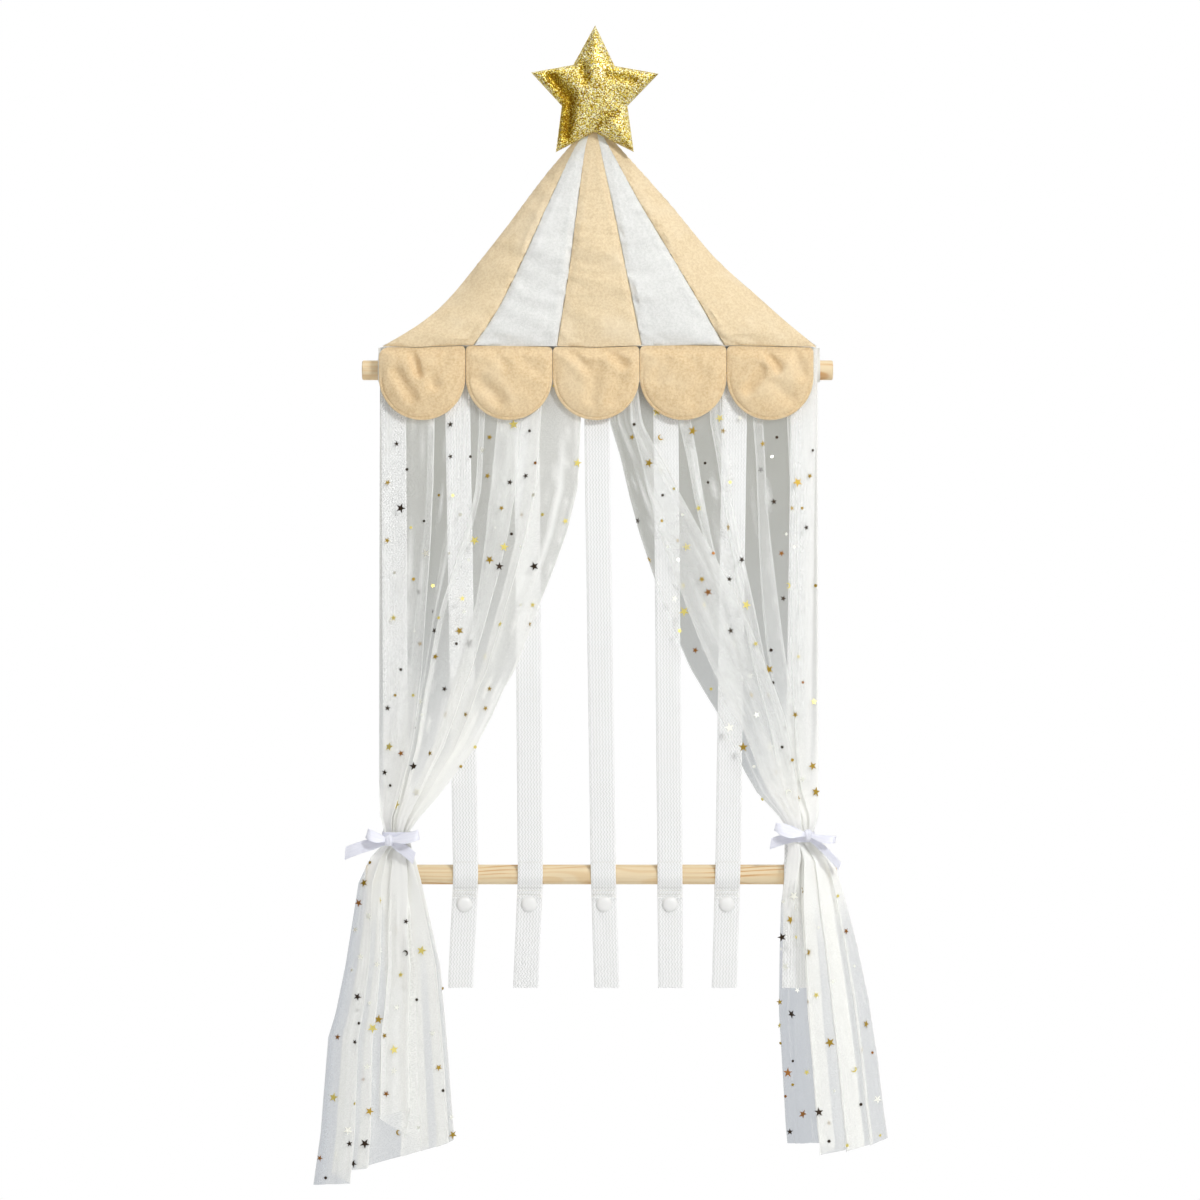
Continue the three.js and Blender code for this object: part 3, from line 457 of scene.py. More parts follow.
# The run of each curtain's outer and inner edge, as (height, place across)
curtain_edges = {
    "left": (
        ((-214, -171.6), (-560, -172.5), (-590, -171.5), (-600, -167.8), (-610, -167.8), (-621, -179.2),
         (-642, -188.8), (-707, -199.2), (-746, -207.2), (-765, -213), (-811, -216.8), (-842, -219.2), (-883, -225)),
        ((-214, -10), (-274, -10.4), (-326, -12.8), (-362, -21.6), (-397, -34.4), (-420, -44), (-473, -64),
         (-487, -72.3), (-510, -82.4), (-534, -95.2), (-560, -115.2), (-573, -125.1), (-592, -142), (-600, -147.2),
         (-610, -147.2), (-621, -143.5), (-650, -136), (-707, -123.2), (-769, -117.6), (-846, -112)),
    ),
    "right": (
        ((-214, 177.6), (-560, 178.4), (-588, 178.6), (-600, 174.8), (-610, 174.8), (-617, 184), (-624, 190.5),
         (-637, 194.5), (-656, 200.2), (-692, 209.6), (-734, 218.4), (-784, 226.1), (-815, 229.6), (-846, 234)),
        ((-214, 10), (-274, 11), (-302, 19.6), (-333, 26.7), (-362, 34.4), (-397, 46), (-445, 64), (-470, 75.2),
         (-494, 89.6), (-510, 99.7), (-552, 118.4), (-569, 128.3), (-589, 146.9), (-600, 154.2), (-610, 154.2),
         (-637, 151.2), (-658, 148), (-696, 147), (-744, 146.4), (-792, 149.3), (-838, 152), (-848, 153.1)),
    ),
}
# How closely the cloth is gathered, from the outer edge to the inner one, above and below the tie
drape_fullness = {
    "left": ((0, 0.2), (0.05, 0.2), (0.08, 0.35), (0.12, 0.35), (0.16, 0.05), (0.27, 0), (0.36, 0.12), (0.7, 0.25),
             (0.82, 0.6), (0.97, 0.75), (1, 0.5)),
    "right": ((0, 0.9), (0.03, 0.6), (0.06, 0.15), (0.1, 0.0), (0.6, 0.08), (0.78, 0.16), (0.88, 0.1), (1, 0.02)),
}
skirt_fullness = {
    "left": ((0, 0.0), (0.05, 0.5), (0.14, 0.65), (0.24, 0.75), (0.46, 0.6), (0.6, 0.9), (0.72, 0.95), (0.85, 0.85),
             (1, 0.75)),
    "right": ((0, 0.7), (0.1, 0.78), (0.3, 0.82), (0.55, 0.75), (0.66, 0.1), (0.76, 0.0), (1, 0.0)),
}
curtain_top, skirt_end = -214.2, -866
tie_height, tie_half = -604.8, 4.8
tie_top, tie_bottom = tie_height + tie_half, tie_height - tie_half
bundle_back, bundle_depth = -15.7, 11.6
# How far above and below the tie the bundle reaches, and how far back the flat cloth lies at the top
bunch_above, bunch_below, drape_back = 62, 85, -17.6


def softened(values, reach):
    """The same columns of numbers with their corners rounded, each over its neighbours within reach."""
    window = np.exp(-0.5 * (np.arange(-3 * reach, 3 * reach + 1) / reach) ** 2)
    window /= window.sum()
    padded = np.pad(values, ((3 * reach, 3 * reach), (0, 0)), mode="reflect", reflect_type="odd")
    return np.apply_along_axis(lambda column: np.convolve(column, window, mode="valid"), 0, padded)


def edge_place(run, height):
    heights, places = np.array(run)[::-1].T
    return np.interp(height, heights, places)


def fine_pleats(side, columns, levels):
    """How creased the cloth is by the fine pleats between its big folds, that come and go along it."""
    chance = np.random.default_rng(3 if side == "left" else 5)
    creased = np.zeros((len(levels), len(columns)))
    spread_out, along_edge = 44, 14
    for pleat in range(spread_out + along_edge):
        mark, reach = chance.uniform(0.02 if pleat < spread_out else 0.84, 0.99), chance.uniform(0.35, 0.8)
        rise = levels[::-1]
        drift = np.interp(rise, np.linspace(skirt_end, curtain_top, 9), chance.normal(0, 0.012, 9))[::-1]
        strength = np.interp(rise, np.linspace(skirt_end, curtain_top, 12), chance.uniform(-0.35, 0.75, 12))[::-1]
        strength = strength * np.where(levels > tie_height, 1, 0.7 - 0.4 * smooth_share(tie_bottom - levels, 30, 150))
        offset = (columns[None, :] - mark - drift[:, None]) * curtain_cut / reach
        creased = np.maximum(creased, np.clip(strength, 0, 1)[:, None] * np.exp(-(offset**2)))
    return creased


def folded_curtain(side):
    """The curtain's points by row and column, how creased and gathered each one is, and the columns."""
    folds = curtain_folds[side]
    marks, fronts, hems = (np.array([fold[i] for fold in folds]) for i in (0, 1, 4))
    outer, inner = curtain_edges[side]
    drape_rows, skirt_rows = np.linspace(curtain_top, tie_top, 76), np.linspace(tie_bottom, skirt_end, 52)
    levels = np.concatenate([drape_rows, [tie_height], skirt_rows])

    # Where each fold's edge lies across the curtain, level by level
    known = np.array((*drape_levels, tie_height, *skirt_levels))
    runs = np.array([(*drape, (drape[-1] + skirt[0]) / 2, *skirt) for _, _, drape, skirt, _ in folds])
    by_level = np.stack([np.interp(levels[::-1], known[::-1], run[::-1])[::-1] for run in runs], axis=1)
    by_level = softened(by_level, 3)

    # The same for every place on the cloth between them, with the folds rounded
    fine_steps = 1500
    fine = np.linspace(0, 1, fine_steps + 1)
    places = softened(np.stack([np.interp(fine, marks, row) for row in by_level], axis=1), 6)
    depths = softened(np.interp(fine, marks, fronts)[:, None] * np.ones((1, len(levels))), 9)

    # The mesh's columns stand closest together at the folds' edges
    columns = [0.0]
    for start, end in zip(marks, marks[1:]):
        steps = max(6, round((end - start) * curtain_cut / 2.3))
        columns += [start + (end - start) * (0.5 - 0.5 * math.cos(math.pi * i / steps)) for i in range(1, steps + 1)]
    columns = np.array(columns)
    pick = np.clip(np.round(columns * fine_steps).astype(int), 0, fine_steps)
    hem = np.interp(columns, marks, hems)

    turns = np.zeros((len(levels), len(marks)))
    step = np.diff(by_level, axis=1)
    turns[:, 1:-1] = np.clip(np.minimum(np.abs(step[:, 1:]), np.abs(step[:, :-1])) * 30, 0, 1)
    turns[:, 1:-1] *= step[:, 1:] * step[:, :-1] < 0
    turns[:, 0] = 0.5
    near = np.exp(-((((columns[:, None] - marks[None, :]) * curtain_cut) / 0.7) ** 2))
    creased = np.maximum(np.clip(turns @ near.T, 0, 1), fine_pleats(side, columns, levels))

    ripples = 15
    chance = np.random.default_rng(7 if side == "left" else 11)
    waver = np.interp(columns, np.linspace(0, 1, 40), chance.normal(0, 0.9, 40))
    if side == "left":
        drape_reach, skirt_reach = 130 + 120 * columns, 28 + 72 * np.clip(columns / 0.12, 0, 1)
    else:
        drape_reach, skirt_reach = 150 - 95 * columns, 100
    points = np.zeros((len(levels), len(columns), 3))
    gathered = np.zeros((len(levels), len(columns)))
    for row, level in enumerate(levels):
        above = level > tie_height
        # The tie draws the cloth together, less and less with the distance from it
        distance = max(0, level - tie_top) if above else max(0, tie_bottom - level)
        bunch = 1 - smooth_share(distance, 0, bunch_above if above else bunch_below)
        drawn, spread = 1 - smooth_share(distance, 0, drape_reach), 1
        if not above:
            drawn = 1 - smooth_share(distance, 0.2 * skirt_reach, skirt_reach)
            spread = 1.1 - 0.2 * smooth_share(distance, 20, 190)
        fullness = np.interp(columns, *np.array((drape_fullness if above else skirt_fullness)[side]).T)
        gathered[row] = drawn + (1 - drawn) * fullness * spread

        height = np.full(len(columns), level)
        if level < tie_bottom:
            height = tie_bottom + (hem - tie_bottom) * ((tie_bottom - level) / (tie_bottom - skirt_end))
        left, right = edge_place(outer, height), edge_place(inner, height)
        place, depth = places[pick, row], depths[pick, row]

        # Away from the tie the folds lie one on another in front of the straps
        opening = smooth_share(curtain_top - level, 45, 150)
        back = drape_back + 1.7 * smooth_share(curtain_top - level, 60, 380)
        narrow = 1 - smooth_share(abs(edge_place(inner, level) - edge_place(outer, level)), 25, 150)
        ripple = (0.25 + 0.65 * opening) * np.sin(2 * np.pi * ripples * columns + waver + 0.004 * level)
        ripple *= 1 - 0.85 * narrow
        drape = back - (1.5 + 6.5 * opening) * depth + ripple * (1 - bunch) - 0.9 * opening
        # In it they make a round bundle
        round_share = np.sqrt(np.clip(1 - 0.9 * (2 * place - 1) ** 2, 0, 1))
        pleat = np.cos(2 * np.pi * (ripples + 2) * columns + waver)
        bundle = bundle_back - bundle_depth * (0.5 + round_share * (0.8 * depth - 0.4 + 0.02 * pleat))
        points[row, :, 0] = left + (right - left) * place
        points[row, :, 1] = drape + (bundle - drape) * bunch**1.6
        points[row, :, 2] = height
    return points, creased, gathered, columns


def run_down(points):
    """How far down the cloth each point lies, along its own column."""
    run = np.zeros(points.shape[:2])
    run[1:] = np.cumsum(np.linalg.norm(np.diff(points, axis=0), axis=2), axis=0)
    return run


def noted(piece, name, values):
    """Keep a number at each point of a piece, for its material."""
    piece.data.attributes.new(name, "FLOAT", "POINT").data.foreach_set("value", values)


tulle = Finish("confetti_tulle")
flat, _ = tulle.cloth_places()
crease = tulle.node("ShaderNodeAttribute", {"attribute_name": "crease"}, out=2)
bunching = tulle.node("ShaderNodeAttribute", {"attribute_name": "gathered"}, out=2)
cells = tulle.node("ShaderNodeTexVoronoi", {"feature": "DISTANCE_TO_EDGE"}, {"Vector": flat, "Scale": 1250.0})
threads = 1 - cells.within(0.05, 0.24)
patches = tulle.grain(flat, 60, 3)
density = 0.06 + threads * 0.13 + (patches - 0.5) * 0.08 + crease * 0.72
density = density + bunching * 0.55 + bunching.within(0.84, 1.0) * 0.3
# The net scatters light onward, so it shades what lies behind it less than it hides it
shading = tulle.node("ShaderNodeLightPath", out="Is Shadow Ray")
tulle.surface({
    # Painted shade and light: the net is painted greyer where it lies in a single layer and whiter where it is
    # gathered.
    "Base Color": tulle.blend(bunching, tint(240, 241, 239), tint(254, 254, 250)),
    "Roughness": 0.8 - crease * 0.25,
    "Sheen Weight": 0.1,
    "Alpha": density.sum("MINIMUM", density, 0.96) * (1 - shading * 0.6),
    "Normal": tulle.bump(patches, 0.1 * mm, 0.2),
})

curtain_points = {}
for side in ("left", "right"):
    points, creased, gathered, columns = folded_curtain(side)
    run = run_down(points)
    flat = np.stack([np.broadcast_to(columns * curtain_cut, run.shape), run], axis=2).reshape(-1, 2)
    faces = [face[:: 1 if side == "left" else -1] for face in grid_faces(*run.shape)]
    piece = mesh_piece(f"tulle_curtain_{side}", points.reshape(-1, 3), faces, tulle.owner, flat)
    noted(piece, "crease", creased.ravel())
    noted(piece, "gathered", gathered.ravel())
    curtain_points[side] = points, creased, gathered, run, columns
    flat = (curtain_cut * mm, float(run[-1].mean()) * mm)
    dressed(piece, f"curtain_{side}", "tulle")


# The confetti: foil stars, dots and a few crescent moons, bonded to the tulle. Foil is thin, so each piece
# lies at its own tilt, and its colour is painted reflection of one gold foil: bright gold, old gold, bronze or almost
# black.
foil_painted_reflections = (
    (0.22, tint(46, 32, 16)),
    (0.48, tint(168, 138, 44)),
    (0.7, tint(228, 212, 118)),
    (0.78, tint(142, 92, 34)),
    (1.0, tint(254, 254, 244)),
)

def star_outline(radius):
    tips = [(radius if i % 2 == 0 else radius * 0.39, math.pi * (0.5 + i / 5)) for i in range(10)]
    return [(r * math.cos(a), r * math.sin(a)) for r, a in tips]


def dot_outline(radius):
    return [(radius * math.cos(i * math.pi / 4), radius * math.sin(i * math.pi / 4)) for i in range(8)]


def moon_outline(radius):
    outside, inside = (math.pi * (0.25 + i / 5.3) for i in range(9)), (math.pi * (1.62 - i / 4.84) for i in range(1, 6))
    bite, shift = 0.78 * radius, 0.35 * radius
    rim = [(radius * math.cos(a), radius * math.sin(a)) for a in outside]
    return rim + [(shift + bite * math.cos(a), bite * math.sin(a)) for a in inside]


# How many of all pieces come before the end of each kind, its outline and its radius
confetti_kinds = (
    (0.26, star_outline, 3.9), (0.6, star_outline, 2.6), (0.95, dot_outline, 1.25), (1, moon_outline, 2.4),
)
curtain_drop, confetti_count, confetti_gap, shown_gap = 680, 150, 12, 7.5
foil_lift, foil_thickness = 0.95, 0.1

foil = Finish("confetti_foil")
shade = foil.node("ShaderNodeAttribute", {"attribute_name": "foil"})
spot, _ = foil.places()
crumple = foil.grain(spot, 900, 2)
foil.surface({
    "Base Color": shade,
    "Metallic": 0.55,
    "Roughness": 0.3 + crumple * 0.15,
    "Normal": foil.bump(crumple, 0.1 * mm, 0.5),
})

for side, seed in (("left", 21), ("right", 34)):
    points, creased, gathered, run, columns = curtain_points[side]
    rows, count = run.shape
    chance = random.Random(seed)
    corners, faces, shades = [], [], []
    # Most of what shows lies on the foremost fold
    foremost = {}
    for x, y, z in points.reshape(-1, 3):
        cell = round(x / 4), round(z / 8)
        foremost[cell] = min(y, foremost.get(cell, 0))
    placed, shown = [], []
    while len(placed) < confetti_count:
        across, down = chance.random(), chance.random()
        j = min(count - 2, int(np.searchsorted(columns, across)))
        i = min(rows - 2, int(np.searchsorted(run[:, j], down * run[-1, j])))
        kind, turn, size = chance.random(), chance.uniform(0, 2 * math.pi), chance.uniform(0.88, 1.1)
        shade_pick, lean = chance.random(), (chance.uniform(-0.25, 0.25), chance.uniform(-0.25, 0.25))
        spot = (across * curtain_cut, down * curtain_drop)
        x, y, z = points[i, j]
        crowded = any(math.dist(spot, other) < confetti_gap for other in placed)
        crowded = crowded or any(math.dist((x, z), other) < shown_gap for other in shown)
        covered = y > foremost[round(x / 4), round(z / 8)] + 1.2 and chance.random() < 0.7
        if creased[i, j] > 0.3 or gathered[i, j] > 0.97 or crowded or covered:
            continue
        placed.append(spot)
        shown.append((x, z))
        outline = next(shape(radius * size) for limit, shape, radius in confetti_kinds if kind < limit)
        here = Vector(points[i, j])
        along = (Vector(points[i + 1, j]) - here).normalized()
        sideways = (Vector(points[i, j + 1]) - here).normalized()
        out = along.cross(sideways).normalized()
        if out.y > 0:
            out = -out
        sideways = along.cross(out).normalized()
        along = (along + out * lean[0]).normalized()
        sideways = (sideways + out * lean[1]).normalized()
        colour = next(c for limit, c in foil_painted_reflections if shade_pick <= limit)
        start, edge = len(corners), len(outline)
        for lift in (foil_lift, foil_lift + foil_thickness):
            for x, z in outline:
                u, v = x * math.cos(turn) - z * math.sin(turn), x * math.sin(turn) + z * math.cos(turn)
                corners.append(here + out * lift + sideways * u - along * v)
                shades += colour
        faces.append(tuple(range(start, start + edge))[::-1])
        faces.append(tuple(range(start + edge, start + 2 * edge)))
        faces += [tuple(start + k for k in face) for face in ring_faces(1, edge)]
    piece = facing_out(mesh_piece(f"foil_confetti_{side}", corners, faces, foil.owner, smooth=False))
    piece.data.color_attributes.new("foil", "FLOAT_COLOR", "POINT").data.foreach_set("color", shades)
    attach(piece, "crown")


# The back loops: a short end of the same webbing behind each strap, sewn to it just above the lower
# dowel, passed behind the dowel and shut on the strap below it, so that the dowel can be taken out.
seam_height, snap_height = -624.0, -659.2
wrap_radius, tab_depth, tab_top = 9.3, -5.8, -653


def in_plane(runs, x):
    """Stations of a band that keeps square to X, along (depth, height) points."""
    points = [Vector((0, depth, height)) for depth, height in runs]
    stations = []
    for i, point in enumerate(points):
        before, after = neighbours(points, i)
        run = (after - before).normalized()
        stations.append((point + Vector((x(point.z), 0, 0)), Vector((1, 0, 0)), Vector((0, -run.z, run.y)), 1))
    return stations


loop_run = [(-12.9, seam_height), (-12.6, seam_height - strap_thickness)]
for i in range(19):
    angle = math.radians(112 - 147 * i / 18)
    loop_run.append((rod_depth + wrap_radius * math.cos(angle), lower_rod + wrap_radius * math.sin(angle)))
# From the dowel it runs on to the tab, that lies shut against the strap
depth, height = loop_run[-1]
loop_run += [((depth * (3 - i) + tab_depth * i) / 3, (height * (3 - i) + tab_top * i) / 3) for i in (1, 2)]
loop_run += [(tab_depth, tab_top - 0.71 * i) for i in range(21)]
for strap in range(7):
    stations = in_plane(loop_run, lambda height: strap_middle(strap, height))
    piece = band(f"back_loop_{strap + 1}", stations, strap_width, strap_thickness, webbing.owner)
    run_length(stations)
    dressed(piece, f"strap_loop_{strap + 1}", "webbing", f"loop_{strap + 1}")


# The stitches: white sewing thread, two rows across each strap under the dowel and one row above it
# that holds the back loop. Each stitch is a short length of thread sunk at both ends.
thread = Finish("white_thread")
spot, _ = thread.places()
twist = thread.grain(spot, 3000, 2)
thread.surface({
    "Base Color": thread.blend(twist, tint(222, 221, 214), tint(247, 247, 243)),
    "Roughness": 0.75 + twist * 0.1,
    "Normal": thread.bump(twist, 0.05 * mm, 0.4),
})
stitch_rows = (-625.4, -648.2, -651.2)
stitch_pitch, stitch_length, stitch_sink, thread_radius = 2.5, 1.8, 0.6, 0.36
thread_rings, thread_sides = 5, 6
for strap in range(7):
    points, faces = [], []
    for height in stitch_rows:
        front = strap_depth(height) - strap_thickness / 2 - strap_bar(height)
        for stitch in range(-3, 4):
            middle = strap_middle(strap, height) + stitch * stitch_pitch
            start = len(points)
            for ring in range(thread_rings):
                share = ring / (thread_rings - 1)
                x, sink = middle + (share - 0.5) * stitch_length, stitch_sink * (2 * share - 1) ** 4
                for side in range(thread_sides):
                    turn = 2 * math.pi * side / thread_sides
                    y = front - 0.08 + sink + thread_radius * math.cos(turn)
                    points.append((x, y, height + thread_radius * math.sin(turn)))
            faces += [tuple(start + i for i in face) for face in ring_faces(thread_rings - 1, thread_sides)]
            faces.append(tuple(range(start, start + thread_sides)))
            faces.append(tuple(range(len(points) - thread_sides, len(points))))
    piece = facing_out(mesh_piece(f"strap_stitches_{strap + 1}", points, faces, thread.owner))
    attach(piece, "crown")


# The press studs: moulded from white acetal, a domed cap with its post and stud on the strap and a
# socket with its own flat cap on the back loop.
acetal = Finish("white_acetal")
spot, _ = acetal.places()
flow = acetal.grain(spot, 160, 3)
acetal.surface({
    "Base Color": acetal.blend(flow, tint(240, 240, 238), tint(249, 249, 247)),
    "Roughness": 0.3 + flow * 0.12,
    "Normal": acetal.bump(flow, 0.05 * mm, 0.3),
})


def turned(name, profile, place, material, steps=40):
    """A body turned about an axis along Y, from (radius, depth) points that start and end on it."""
    points, inner = [], profile[1:-1]
    for radius, depth in inner:
        for step in range(steps):
            angle = 2 * math.pi * step / steps
            points.append((place[0] + radius * math.cos(angle), place[1] + depth, place[2] + radius * math.sin(angle)))
    faces = ring_faces(len(inner) - 1, steps)
    for (_, depth), ring in ((profile[0], 0), (profile[-1], len(inner) - 1)):
        points.append((place[0], place[1] + depth, place[2]))
        faces += [(len(points) - 1, ring * steps + i, ring * steps + (i + 1) % steps) for i in range(steps)]
    return facing_out(mesh_piece(name, points, faces, material), 35)


post_radius, stud_radius, clearance = 1.6, 2.4, 0.3
cap_profile = [
    (0, -2.95), (1.4, -2.93), (2.8, -2.82), (4.1, -2.5), (5.1, -1.98), (5.8, -1.35), (6.15, -0.8), (6.2, -0.5),
    (6.1, -0.35), (5.9, -clearance), (post_radius, -clearance), (post_radius, 1.7), (3.6, 1.7), (3.6, 2.2),
    (post_radius, 2.2), (stud_radius, 3.4), (2.2, 3.8), (post_radius, 4.0), (0, 4.0),
]
socket_profile = [
    (0, -0.9), (2.7, -0.9), (2.7, -2.4), (3.9, -2.4), (4.6, -2.2), (4.8, -1.8), (4.8, -clearance),
    (post_radius, -clearance), (post_radius, 1.7), (5.6, 1.7), (5.5, 2.2), (4.8, 3.0), (3, 3.6), (0, 3.9),
]
for strap in range(7):
    halves = (
        ("cap", cap_profile, strap_snap_depth, "crown"),
        ("socket", socket_profile, tab_depth, f"loop_{strap + 1}"),
    )
    for half, profile, depth, body in halves:
        place = (strap_middle(strap, snap_height), depth - strap_thickness / 2, snap_height)
        piece = turned(f"stud_{half}_{strap + 1}", profile, place, acetal.owner)
        dressed(piece, f"snap_{half}_{strap + 1}", "snap_plastic", body)


# The roof: five gores of short plush, beige and white in turn, sewn to each other and to a plain back
# panel, turned and stuffed. The stuffing swells every gore between its seams, which draw the plush in,
# so that it puckers along them.
apex_x, apex_height, roof_height, roof_half = -1.2, -29.6, 184, 173
wall, plush_thickness, back_thickness = 4.0, 1.6, 1.2
# How far the front stands off the wall at the apex, in its seams and between them, and its belly below
apex_seam, apex_puff, belly = 4.2, 8.7, 2.5
scallop_depth = -22.1
roof_rows, gore_columns = 84, 20
# The flaps that hang under it: the way from each one to the next, and the middle one's place
flap_pitch, flaps_middle = 69.4, 0.9
# The roof's two edges and four seams: the place of the foot as a share of half the roof's width, and
# the run down to it as (share of the height, share of the way out)
roof_lines = (
    (-0.981, ((0, 0), (0.25, 0.235), (0.47, 0.413), (0.7, 0.611), (0.83, 0.726), (0.92, 0.844), (1, 1))),
    (-0.56, ((0, 0), (0.13, 0.163), (0.38, 0.383), (0.62, 0.588), (0.84, 0.794), (1, 1))),
    (-0.175, ((0, 0), (0.11, 0.215), (0.37, 0.436), (0.65, 0.653), (1, 1))),
    (0.215, ((0, 0), (0.37, 0.39), (0.63, 0.643), (1, 1))),
    (0.597, ((0, 0), (0.38, 0.358), (0.67, 0.666), (1, 1))),
    (1.021, ((0, 0), (0.37, 0.345), (0.62, 0.556), (0.77, 0.736), (0.9, 0.872), (1, 1))),
)
# How far the base seam rides above or below its mean height, by place across
base_wave = ((-171, 0.1), (-140, -0.4), (-103, 1.1), (-70, 0.8), (-33, 0.2), (3, -0.4), (36, 0.9), (76, 1.4),
             (104, 1.0), (140, 0.3), (176, -0.3))
downs = np.linspace(0.055, 1, roof_rows)
lines = []
for foot, run in roof_lines:
    shares = np.interp(downs, [down for down, _ in run], [share for _, share in run])
    lines.append(apex_x + (foot * roof_half - apex_x) * shares)
lines = softened(np.stack(lines, axis=1), 4)
heights = (apex_height - roof_height * downs)[:, None]
seam_depths = (wall - apex_seam + (scallop_depth - wall + apex_seam) * smooth_share(downs, 0.7, 1))[:, None]


def roof_swell(x):
    across = 2 * (x - lines[:, :1]) / (lines[:, -1:] - lines[:, :1]) - 1
    return np.clip(1 - across**4, 0, 1)


def roof_front(x):
    edge = seam_depths - clearance / 2 - plush_thickness
    base = scallop_depth - clearance / 2 - plush_thickness
    middle = (wall - apex_puff) + (base - wall + apex_puff) * (downs**0.7)[:, None]
    middle = middle - belly * np.sin(np.pi * downs * downs)[:, None]
    return edge + (middle - edge) * roof_swell(x)


def roof_back(x):
    edge = seam_depths + clearance / 2 + back_thickness
    return edge + (wall - edge) * np.minimum(1, roof_swell(x) * 1.25)


def swollen(points, faces, pinned, pressure, growth, most, bending=0.6):
    """The points, in millimetres, after the stuffing has pushed the cloth out between its seams."""
    cloth = mesh_piece("swelling", points, faces, None)
    seams = cloth.vertex_groups.new(name="seams")
    seams.add([int(i) for i in pinned], 1, "REPLACE")
    modifier = cloth.modifiers.new("swelling", "CLOTH")
    settings = modifier.settings
    settings.quality = 4
    settings.mass = 0.15
    settings.tension_stiffness = settings.compression_stiffness = 20
    settings.shear_stiffness = 10
    settings.bending_stiffness = bending
    settings.vertex_group_mass = "seams"
    settings.shrink_min = -growth
    settings.use_pressure = True
    settings.uniform_pressure_force = pressure
    settings.effector_weights.gravity = 0
    modifier.point_cache.frame_end = 20
    for step in range(1, 21):
        bpy.context.scene.frame_set(step)
    moved = cloth.evaluated_get(bpy.context.evaluated_depsgraph_get()).data
    after = np.zeros(len(moved.vertices) * 3)
    moved.vertices.foreach_get("co", after)
    bpy.data.objects.remove(cloth)
    bpy.context.scene.frame_set(1)
    points = np.asarray(points, float)
    move = after.reshape(-1, 3) / mm - points
    length = np.linalg.norm(move, axis=1, keepdims=True)
    return points + move * np.minimum(1, most / np.maximum(length, 1e-6))


def swept(widths, lengths):
    """The area under a run of widths, each at its own length along."""
    return float(((widths[1:] + widths[:-1]) / 2) @ np.diff(lengths))


def shell(name, front, back, material, flat):
    """A closed body between two surfaces with the same rows and columns of points."""
    rows, columns = front.shape[:2]
    count = rows * columns
    border = list(range(columns)) + [i * columns + columns - 1 for i in range(1, rows)]
    border += [count - 2 - i for i in range(columns - 1)] + [i * columns for i in range(rows - 2, 0, -1)]
    faces = grid_faces(rows, columns)
    faces += [tuple(count + i for i in face[::-1]) for face in grid_faces(rows, columns)]
    for a, b in zip(border, border[1:] + border[:1]):
        faces.append((b, a, a + count, b + count))
    points = np.concatenate([front.reshape(-1, 3), back.reshape(-1, 3)])
    return facing_out(mesh_piece(name, points, faces, material, np.concatenate([flat, flat])), 60)


def plush(name, dark, light, crushed):
    """Short-pile plush: a fine nap, laid in soft streaks, that turns pale where it is crushed."""
    pile = Finish(name)
    flat, _ = pile.cloth_places()
    spot, _ = pile.places()
    streaks = pile.grain(pile.stretched(flat, (150, 90, 1)), 1, 3, 0.55)
    patches = pile.grain(spot, 30, 2, 0.5)
    nap = pile.grain(spot, 1300, 3, 0.7)
    tufts = pile.grain(spot, 520, 3, 0.65)
    colour = pile.blend(tufts.within(0.36, 0.64) * 0.75 + streaks.within(0.4, 0.7) * 0.25, dark, light)
    colour = pile.blend(patches.within(0.46, 0.76) * 0.3, colour, crushed)
    colour = pile.blend(nap.within(0.5, 0.72) * 0.45, colour, crushed)
    rough = pile.bump(nap, 0.35 * mm, 0.6, pile.bump(tufts, 0.5 * mm, 0.4, pile.bump(patches, 1.2 * mm, 0.25)))
    return pile.surface({
        "Base Color": colour,
        "Roughness": 0.8 + nap * 0.15,
        "Sheen Weight": 0.6,
        "Sheen Roughness": 0.3,
        "Sheen Tint": (1, 0.95, 0.86, 1),
        "Normal": rough,
    })


beige_plush = plush("beige_plush", tint(228, 204, 163), tint(244, 224, 187), tint(252, 239, 213))
white_plush = plush("white_plush", tint(226, 227, 223), tint(240, 240, 237), tint(249, 249, 247))

eased = 0.5 - 0.5 * np.cos(np.pi * np.arange(gore_columns + 1) / gore_columns)
eased = 0.75 * eased + 0.25 * np.arange(gore_columns + 1) / gore_columns
x = np.concatenate(
    [lines[:, g : g + 1] + (lines[:, g + 1 : g + 2] - lines[:, g : g + 1]) * eased[None, :-1] for g in range(5)]
    + [lines[:, -1:]],
    axis=1,
)
gore_widths = np.repeat(np.diff(lines, axis=1), gore_columns, axis=1)
gore_widths = np.concatenate([gore_widths, gore_widths[:, -1:]], axis=1)
within = np.concatenate([np.tile(eased[:-1], 5), [0]])[None, :]
puff = 2.4 * np.sin(np.pi * within) ** 0.7 * np.clip(gore_widths / flap_pitch, 0, 1)
puff = puff * np.clip((1 - downs[:, None]) / 0.06, 0, 1)
surface = np.stack([x, roof_front(x) - puff, np.broadcast_to(heights, x.shape)], axis=2)
pinned = [i * x.shape[1] + j for i in range(roof_rows) for j in range(0, x.shape[1], gore_columns)]
pinned += list(range(x.shape[1])) + list(range((roof_rows - 1) * x.shape[1], roof_rows * x.shape[1]))
forward = [face[::-1] for face in grid_faces(*x.shape)]
stuffed = swollen(surface.reshape(-1, 3), forward, pinned, 4.0, 0.035, 3.4, 1.2).reshape(surface.shape)
# The stuffing holds the plush up from behind
stuffed[:, :, 1] = np.minimum(stuffed[:, :, 1], surface[:, :, 1] + 0.5)
stuffed[:, :, 0] = np.clip(stuffed[:, :, 0], lines[:, :1], lines[:, -1:])
surface = stuffed

down_length = roof_height * (downs - downs[0])
